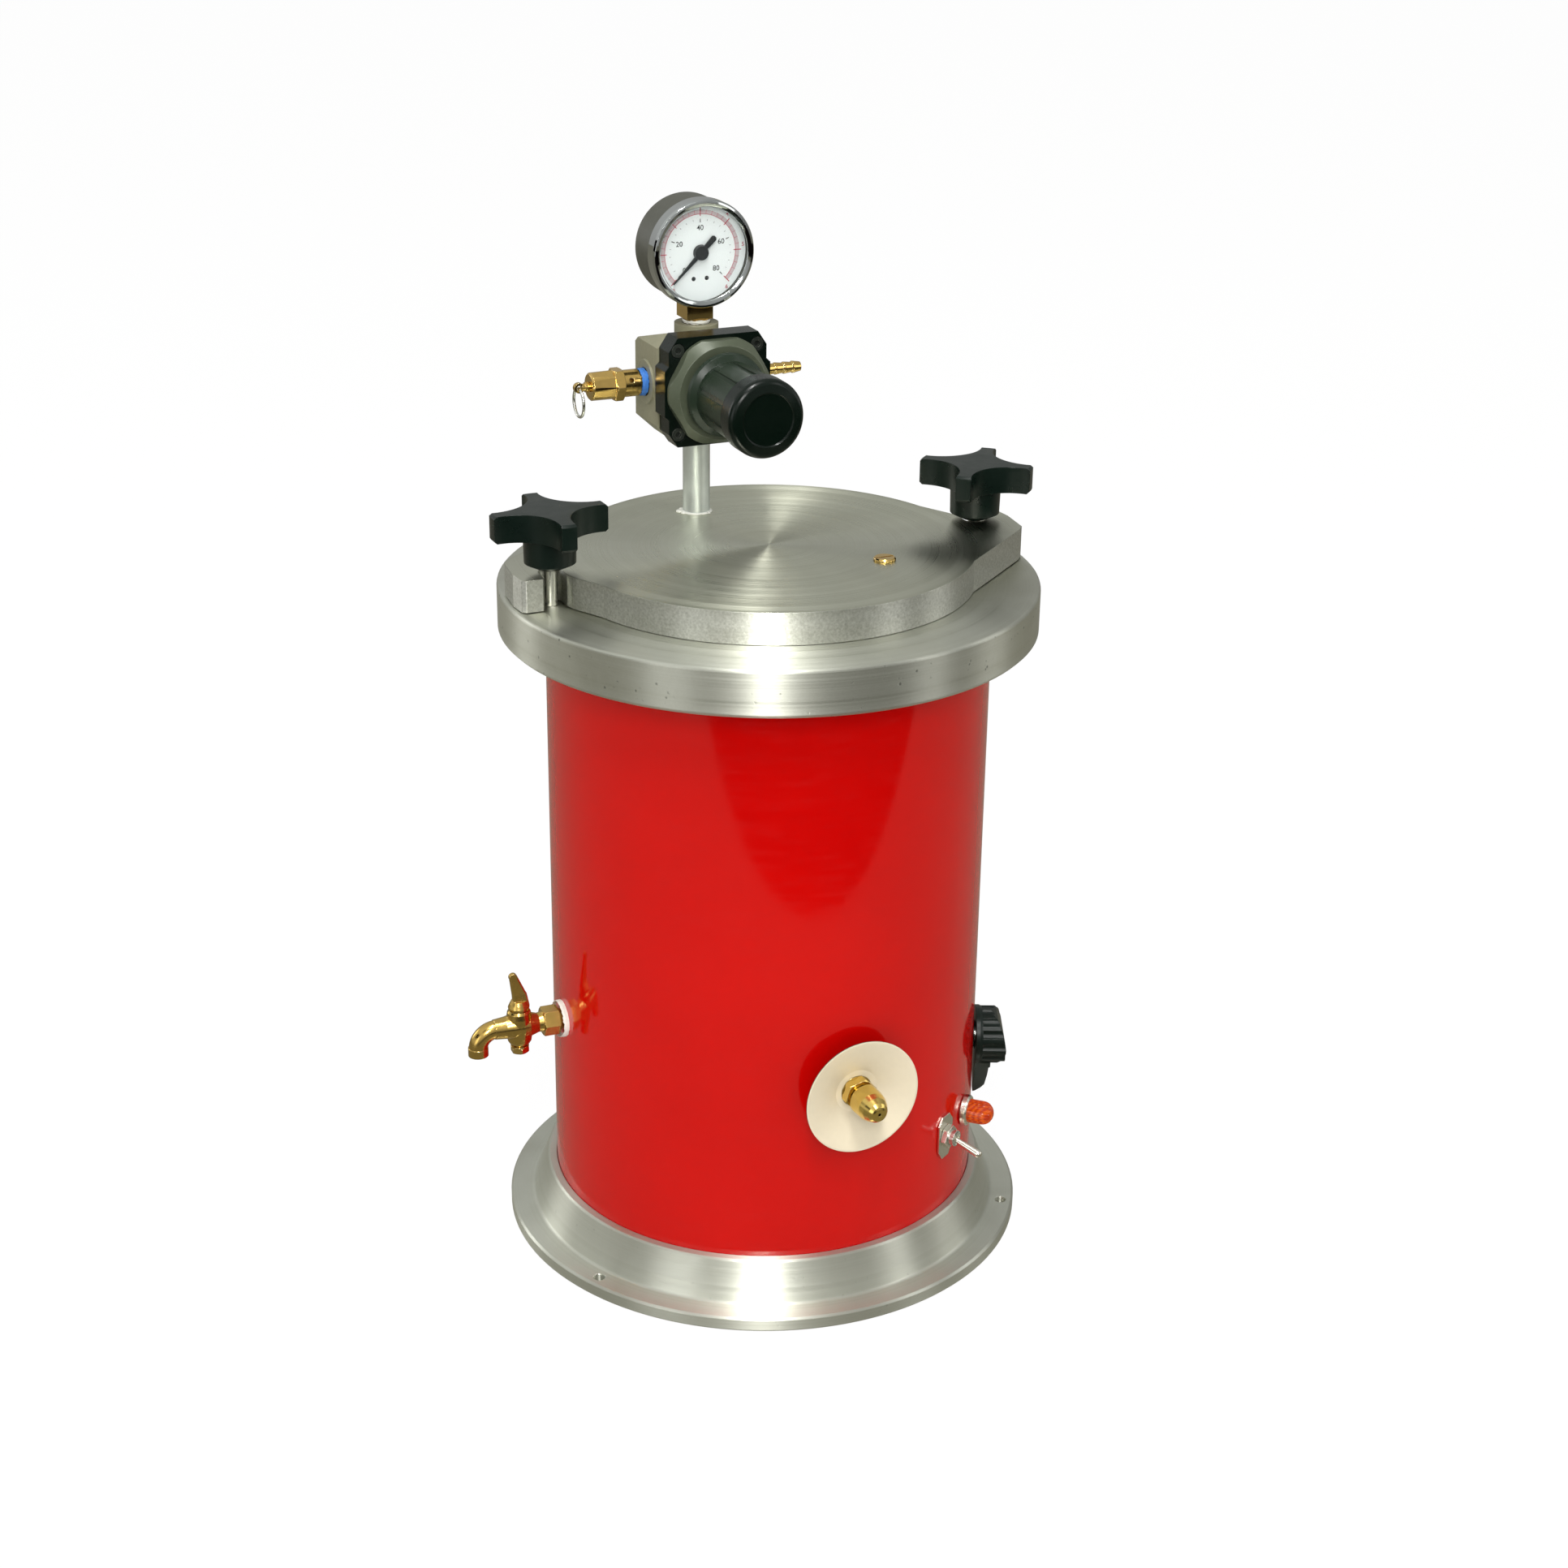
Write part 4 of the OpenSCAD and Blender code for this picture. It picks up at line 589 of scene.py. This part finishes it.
def dialArc(inner, outer, lift):
    f = dialFacts
    a = -math.radians(f["start"])
    strip = startShape("dialArc", bpy.ops.mesh.primitive_plane_add, size=1,
                       location=dialPoint((inner + outer) / 2, f["start"], lift), rotation=(0, a, 0))
    strip.scale = ((outer - inner) * mm, f["thick"] * mm, 1)
    settleShape(strip)
    editAll(strip)
    bpy.ops.mesh.spin(steps=f["arcSteps"], angle=-math.radians(f["sweep"]), center=f["centre"],
                      axis=(0, 1, 0))
    bpy.ops.object.mode_set(mode="OBJECT")
    return strip


def dialTicks(inner, outer, width, count, lift, keep):
    f = dialFacts
    tick = startShape("dialTick", bpy.ops.mesh.primitive_cube_add, size=1,
                      location=dialPoint((inner + outer) / 2, f["start"], lift),
                      rotation=(0, -math.radians(f["start"]), 0))
    tick.scale = ((outer - inner) * mm, f["thick"] * mm, width * mm)
    settleShape(tick)
    editAll(tick)
    bpy.ops.mesh.bevel(offset=f["tickEdge"] * mm, segments=1)
    bpy.ops.object.mode_set(mode="OBJECT")
    angles = [f["sweep"] * i / count for i in range(1, count + 1) if keep(i)]
    return [tick] + turnedCopies(tick, f["centre"], "Y", angles)


def dialDot(x):
    f = dialFacts
    spot = f["centre"] + Vector((x, -f["lift"], -f["dotDown"])) * mm
    dot = startShape("dialDot", bpy.ops.mesh.primitive_circle_add, vertices=8, radius=f["dotSize"] * mm,
                     fill_type="NGON", location=spot, rotation=(math.pi / 2, 0, 0))
    settleShape(dot)
    editAll(dot)
    bpy.ops.mesh.extrude_region_move(TRANSFORM_OT_translate={"value": (0, -f["thick"] * mm, 0)})
    bpy.ops.mesh.bevel(offset=f["dotEdge"] * mm, segments=2)
    bpy.ops.object.mode_set(mode="OBJECT")
    return dot


def dialNumber(name, words, r, degrees, size, finish):
    f = dialFacts
    number = startShape(name, bpy.ops.object.text_add, radius=size * mm)
    number.data.body = words
    number.data.align_x = "CENTER"
    number.data.align_y = "CENTER"
    number.data.extrude = f["numberThick"] * mm
    number.data.offset = f["numberBold"] * mm
    number.data.resolution_u = 4
    bpy.ops.object.convert(target="MESH")
    number = bpy.context.active_object
    number.location = dialPoint(r, degrees, f["lift"] + f["numberOver"])
    number.rotation_euler = (math.pi / 2, 0, 0)
    finishShape(number, "lid", finish)


f = dialFacts
over = f["lift"] + f["over"]
finishShape(joinShapes("dialBandRing", [dialArc(*f["band"], f["lift"])]), "lid", "dialBand")
red = [dialArc(*f["redArc"], over)]
red += dialTicks(*f["redLong"], f["redTicks"], over, lambda i: i % f["redEvery"] == 0)
red += dialTicks(*f["redShort"], f["redTicks"], over, lambda i: i % f["redEvery"])
finishShape(joinShapes("dialRedScale", red), "lid", "dialRed")
black = [dialDot(x) for x in f["dots"]]
black += dialTicks(*f["blackLong"], f["blackTicks"], over, lambda i: i % f["blackEvery"] == 0)
black += dialTicks(*f["blackShort"], f["blackTicks"], over, lambda i: i % f["blackEvery"])
finishShape(joinShapes("dialBlackScale", black), "lid", "dialInk")
last = f["redNumbers"] - 1
for i in range(f["redNumbers"]):
    nudge = {0: f["endNudge"], last: -f["endNudge"]}.get(i, f["nudge"])
    dialNumber("dialRedNumber%d" % i, str(i), f["redNumberAt"], f["start"] - f["sweep"] * i / last + nudge,
               f["redNumberSize"], "dialRed")
last = f["blackNumbers"] - 1
for i in range(f["blackNumbers"]):
    dialNumber("dialBlackNumber%d" % i, str(f["blackNumberStep"] * i), f["blackNumberAt"],
               f["start"] - f["sweep"] * i / last, f["blackNumberSize"], "dialInk")
print("dial drawn")


def cloudTexture(name, size):
    texture = bpy.data.textures.new(name, "CLOUDS")
    texture.noise_scale = size * mm
    texture.noise_depth = 2
    return texture


def displace(shape, texture, strength, direction="NORMAL"):
    m = shape.modifiers.new("lumps", "DISPLACE")
    m.texture = texture
    m.texture_coords = "GLOBAL"
    m.direction = direction
    m.strength = strength * mm
    m.mid_level = 0.5


# White sealant squeezed out round the pipe's foot, with its blobs on the left.
pipeLow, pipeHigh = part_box("air_pipe")
sealantFacts = {
    "ring": 5.45, "thick": 0.62, "voxel": 0.16, "lumps": 2.4, "rough": 0.7, "soften": 4, "cut": 0.1,
    "blobFlat": 0.7,
    # Each blob: angle, distance out, size.
    "blobs": [(172, 6.7, 1.15), (196, 6.4, 0.9), (140, 6.2, 0.75), (300, 6.0, 0.6), (20, 5.9, 0.6)],
}
f = sealantFacts
foot = Vector(((pipeLow.x + pipeHigh.x) / 2, (pipeLow.y + pipeHigh.y) / 2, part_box("lid")[1].z))
bead = [startShape("bead", bpy.ops.mesh.primitive_torus_add, location=foot, major_radius=f["ring"] * mm,
                   minor_radius=f["thick"] * mm, major_segments=72, minor_segments=16)]
for angle, out, size in f["blobs"]:
    a = math.radians(angle)
    spot = foot + Vector((out * math.cos(a), out * math.sin(a), f["cut"])) * mm
    blob = startShape("blob", bpy.ops.mesh.primitive_ico_sphere_add, subdivisions=3, radius=size * mm,
                      location=spot)
    blob.scale = (1, 1, f["blobFlat"])
    bead.append(settleShape(blob))
bead = joinShapes("pipeSealant", bead)
m = bead.modifiers.new("melt", "REMESH")
m.mode = "VOXEL"
m.voxel_size = f["voxel"] * mm
displace(bead, cloudTexture("sealantLumps", f["lumps"]), f["rough"])
m = bead.modifiers.new("soft", "SMOOTH")
m.iterations = f["soften"]
settleShape(bead)
editAll(bead)
bpy.ops.mesh.bisect(plane_co=foot - Vector((0, 0, f["cut"] * mm)), plane_no=(0, 0, 1), clear_inner=True,
                    use_fill=True)
finishShape(bead, "lid", "sealant", 80)

# Thread tape: ribbons wound over each other, with ragged edges.
tapes = {
    "valveTapeWrap": dict(node="valve_tape", finish="blueTape", slot="blue_tape", body="lid", ragged=1.1),
    "gaugeTapeWrap": dict(node="gauge_tape", finish="whiteNylon", slot="white_nylon", body="lid", ragged=0.7),
    "drainTapeWrap": dict(node="drain_washer", finish="whiteNylon", slot="white_nylon", body="tank",
                          ragged=1.0),
}
tapeRibbon = {
    "around": 64, "rows": 3, "turns": 3, "apart": 0.17, "wide": 0.52,  # shares of the tape's length
    "inset": 0.45, "step": 0.09, "wall": 0.10, "lean": 2.5,  # mm and degrees
    "lump": 0.22, "lumps": (1.6, 0.4), "edges": (1.1, 0.5),  # noise size and its growth with each turn
}
f = tapeRibbon
for name, facts in tapes.items():
    low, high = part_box(facts["node"])
    size = high - low
    axis = min(range(3), key=lambda i: size[i])
    outer = max(size) / 2
    long = size[axis]
    turnTo = [(0, math.pi / 2, 0), (math.pi / 2, 0, 0), (0, 0, 0)][axis]
    ribbons = []
    for i in range(f["turns"]):
        spot = (low + high) / 2
        spot[axis] += long * f["apart"] * (i - 1)
        lean = math.radians(f["lean"]) * (-1) ** i
        turned = (turnTo[0] + lean * (axis != 0), turnTo[1] + lean * (axis == 0), lean)
        ribbon = startShape("ribbon", bpy.ops.mesh.primitive_cylinder_add, vertices=f["around"],
                            radius=outer - (f["inset"] - f["step"] * i) * mm, depth=long * f["wide"],
                            end_fill_type="NOTHING", location=spot, rotation=turned)
        settleShape(ribbon)
        editAll(ribbon)
        bpy.ops.mesh.subdivide(number_cuts=f["rows"])
        bpy.ops.object.mode_set(mode="OBJECT")
        lumps = cloudTexture(name + "Lumps%d" % i, f["lumps"][0] + f["lumps"][1] * i)
        edges = cloudTexture(name + "Edge%d" % i, f["edges"][0] + f["edges"][1] * i)
        displace(ribbon, lumps, f["lump"])
        displace(ribbon, edges, facts["ragged"], "XYZ"[axis])
        m = ribbon.modifiers.new("wall", "SOLIDIFY")
        m.thickness = f["wall"] * mm
        m.offset = -1
        ribbons.append(settleShape(ribbon))
    wrap = finishShape(joinShapes(name, ribbons), facts["body"], facts["finish"], 50)
    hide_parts(facts["node"])
print("sealant and tapes made")

# Fluted lamp lens: a round with every other edge drawn in, its end stepped in to a dome.
lensFacts = dict(sides=40, draw=0.93, dome=(0.97, 0.90, 0.79, 0.63, 0.43, 0.20), domeLong=0.95, endFacing=0.9)
f = lensFacts
lensMesh = cadNodes["lamp_lens"].data
middle = sum((v.co for v in lensMesh.vertices), Vector()) / len(lensMesh.vertices)
outward = Vector((middle.x, middle.y, 0)).normalized()
reach = [v.co.dot(outward) for v in lensMesh.vertices]
across = Vector((-outward.y, outward.x, 0))
wide = [v.co.dot(across) for v in lensMesh.vertices]
radius = (max(wide) - min(wide)) / 2
back = min(reach)
front = max(reach)
straight = (front - back) - radius * f["domeLong"]
lampLow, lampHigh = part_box("lamp_lens")
level = (lampLow.z + lampHigh.z) / 2
start = outward * (back + straight / 2) + across * (max(wide) + min(wide)) / 2 + Vector((0, 0, level))
facing = outward.to_track_quat("Z", "Y").to_euler()
lensShape = startShape("lampLensFluted", bpy.ops.mesh.primitive_cylinder_add, vertices=f["sides"],
                       radius=radius, depth=straight, location=start, rotation=facing)
settleShape(lensShape)
editAll(lensShape)
bpy.ops.mesh.select_mode(type="FACE")
bpy.ops.mesh.select_all(action="DESELECT")
bpy.ops.object.mode_set(mode="OBJECT")
for p in lensShape.data.polygons:
    p.select = p.normal.dot(outward) > f["endFacing"]
bpy.ops.object.mode_set(mode="EDIT")
before = 1.0
done = 0.0
for share in f["dome"]:
    depth = math.sqrt(1 - share ** 2) * radius * f["domeLong"]
    step = outward * (depth - done)
    bpy.ops.mesh.extrude_region_move(TRANSFORM_OT_translate={"value": step})
    scale = share / before
    bpy.ops.transform.resize(value=(scale, scale, scale))
    before = share
    done = depth
bpy.ops.mesh.select_mode(type="VERT")
bpy.ops.object.mode_set(mode="OBJECT")
axisAt = start - outward * start.dot(outward)
for v in lensShape.data.vertices:
    off = v.co - axisAt
    spoke = off - outward * off.dot(outward)
    turn = math.atan2(spoke.z, spoke.dot(across)) / math.pi * f["sides"] / 2
    if round(turn) % 2:
        v.co -= spoke * (1 - f["draw"])
finishShape(lensShape, "tank", "orangeLens", 25)
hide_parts("lamp_lens")
print("lens made")

# Bench and light.
floorFacts = dict(seen=1.02, seenShare=0.94, mirrored=0.27, mirroredTint=(1, 0.96, 0.76), wide=18,
                  below=0.0002)
floorMaterial, tree, shader = newMaterial("benchTop", {"Base Color": (0.86, 0.86, 0.85), "Roughness": 0.6})
path = tree.nodes.new("ShaderNodeLightPath")


def glowOver(tree, under, share, strength, colour):
    glow = tree.nodes.new("ShaderNodeEmission")
    glow.inputs["Color"].default_value = (*colour, 1)
    glow.inputs["Strength"].default_value = strength
    mixer = tree.nodes.new("ShaderNodeMixShader")
    tree.links.new(share, mixer.inputs[0])
    tree.links.new(under, mixer.inputs[1])
    tree.links.new(glow.outputs[0], mixer.inputs[2])
    return mixer.outputs[0]


seen = mathNode(tree, "MULTIPLY", path.outputs["Is Camera Ray"], floorFacts["seenShare"])
surface = glowOver(tree, shader.outputs[0], seen, floorFacts["seen"], (1, 1, 1))
surface = glowOver(tree, surface, path.outputs["Is Glossy Ray"], floorFacts["mirrored"],
                   floorFacts["mirroredTint"])
tree.links.new(surface, tree.nodes["Material Output"].inputs["Surface"])
benchFloor = startShape("benchFloor", bpy.ops.mesh.primitive_plane_add, size=floorFacts["wide"],
                        location=(0, 0, -floorFacts["below"]))
benchFloor.data.materials.append(floorMaterial)

# Past the bench's front edge the room is dark; only the gloss of the tank shows it.
darkFacts = dict(edge=-0.415, wide=5.2, long=2.8, above=0.0004)
unseen = {"Base Color": (0.004, 0.003, 0.003), "Roughness": 0.95, "Specular IOR Level": 0.0}
dark, tree, shader = newMaterial("roomPastBench", unseen)
roomPast = startShape("roomPastBench", bpy.ops.mesh.primitive_plane_add, size=1,
                      location=(0, darkFacts["edge"] - darkFacts["long"] / 2, darkFacts["above"]))
roomPast.scale = (darkFacts["wide"], darkFacts["long"], 1)
roomPast.data.materials.append(dark)

# Dark screens that only gloss shows: they give the bright metal round the regulator its dark bands.
screens = {
    "leftScreen": ((-0.85, -0.05, 0.47), (0.26, 0.55)),
    "upperScreen": ((-0.53, -0.50, 0.87), (0.30, 0.50)),
}
headAt = Vector((0, -0.03, 0.35))
unlit = [roomPast]
for name, (place, size) in screens.items():
    turned = (headAt - Vector(place)).to_track_quat("Z", "X").to_euler()
    screen = startShape(name, bpy.ops.mesh.primitive_plane_add, size=1, location=place, rotation=turned)
    screen.scale = (*size, 1)
    screen.data.materials.append(dark)
    unlit.append(screen)
for obj in unlit:
    obj.visible_camera = False
    obj.visible_diffuse = False
    obj.visible_shadow = False
    obj.visible_transmission = False

world = bpy.data.worlds.new("studioWorld")
scene.world = world
world.use_nodes = True
tree = world.node_tree
tree.nodes.clear()
out = tree.nodes.new("ShaderNodeOutputWorld")
path = tree.nodes.new("ShaderNodeLightPath")
white = tree.nodes.new("ShaderNodeBackground")
white.inputs["Color"].default_value = (1, 1, 1, 1)
white.inputs["Strength"].default_value = 1.0
room = tree.nodes.new("ShaderNodeBackground")
roomFacts = dict(low=(0.38, 0.38, 0.37), high=(0.64, 0.65, 0.63), heights=(-0.1, 0.8), left=1.25, right=0.55,
                 sides=(-0.9, 0.9), level=0.8, gloss=0.42)
x, y, z = splitAxes(tree, tree.nodes.new("ShaderNodeTexCoord").outputs["Generated"])
sky = mixColour(tree, rangeNode(tree, z, *roomFacts["heights"]), roomFacts["low"], roomFacts["high"])
sideways = rangeNode(tree, x, *roomFacts["sides"], roomFacts["left"], roomFacts["right"])
tree.links.new(scaleColour(tree, sky, sideways), room.inputs["Color"])
strength = mathNode(tree, "MULTIPLY_ADD", path.outputs["Is Glossy Ray"], roomFacts["gloss"],
                    roomFacts["level"])
tree.links.new(strength, room.inputs["Strength"])
mixer = tree.nodes.new("ShaderNodeMixShader")
tree.links.new(path.outputs["Is Camera Ray"], mixer.inputs[0])
tree.links.new(room.outputs[0], mixer.inputs[1])
tree.links.new(white.outputs[0], mixer.inputs[2])
tree.links.new(mixer.outputs[0], out.inputs["Surface"])

# Each light: place, size, power and colour. All aim at the middle of the tank.
aimAt = Vector((0, 0, 0.17))
lights = {
    "keyBox": ((-0.69, -1.55, 1.23), (0.24, 0.6), 16, (1.0, 0.99, 0.97)),
    "topBox": ((-0.24, -0.56, 2.3), (1.2, 1.4), 6, (1, 1, 1)),
    "leftBox": ((-1.9, -0.9, 0.5), (0.8, 1.0), 4, (0.98, 0.99, 1.0)),
    "rightBox": ((1.9, -0.4, 0.8), (0.6, 1.2), 3.2, (1, 1, 1)),
    "ridgeStrip": ((-0.33, -0.73, 2.05), (0.06, 1.2), 27.0, (1, 1, 0.98)),
    "frontRight": ((1.15, -1.15, 0.85), (0.35, 1.2), 3.0, (1, 1, 1)),
    "backLeft": ((-1.25, 1.45, 0.6), (0.5, 0.8), 3, (1, 1, 1)),
}
for name, (place, size, power, colour) in lights.items():
    data = bpy.data.lights.new(name, "AREA")
    data.shape = "RECTANGLE"
    data.size, data.size_y = size
    data.energy = power
    data.color = colour
    lamp = bpy.data.objects.new(name, data)
    scene.collection.objects.link(lamp)
    lamp.location = place
    lamp.rotation_mode = "QUATERNION"
    lamp.rotation_quaternion = (aimAt - Vector(place)).to_track_quat("-Z", "Y")
print("stage lit")
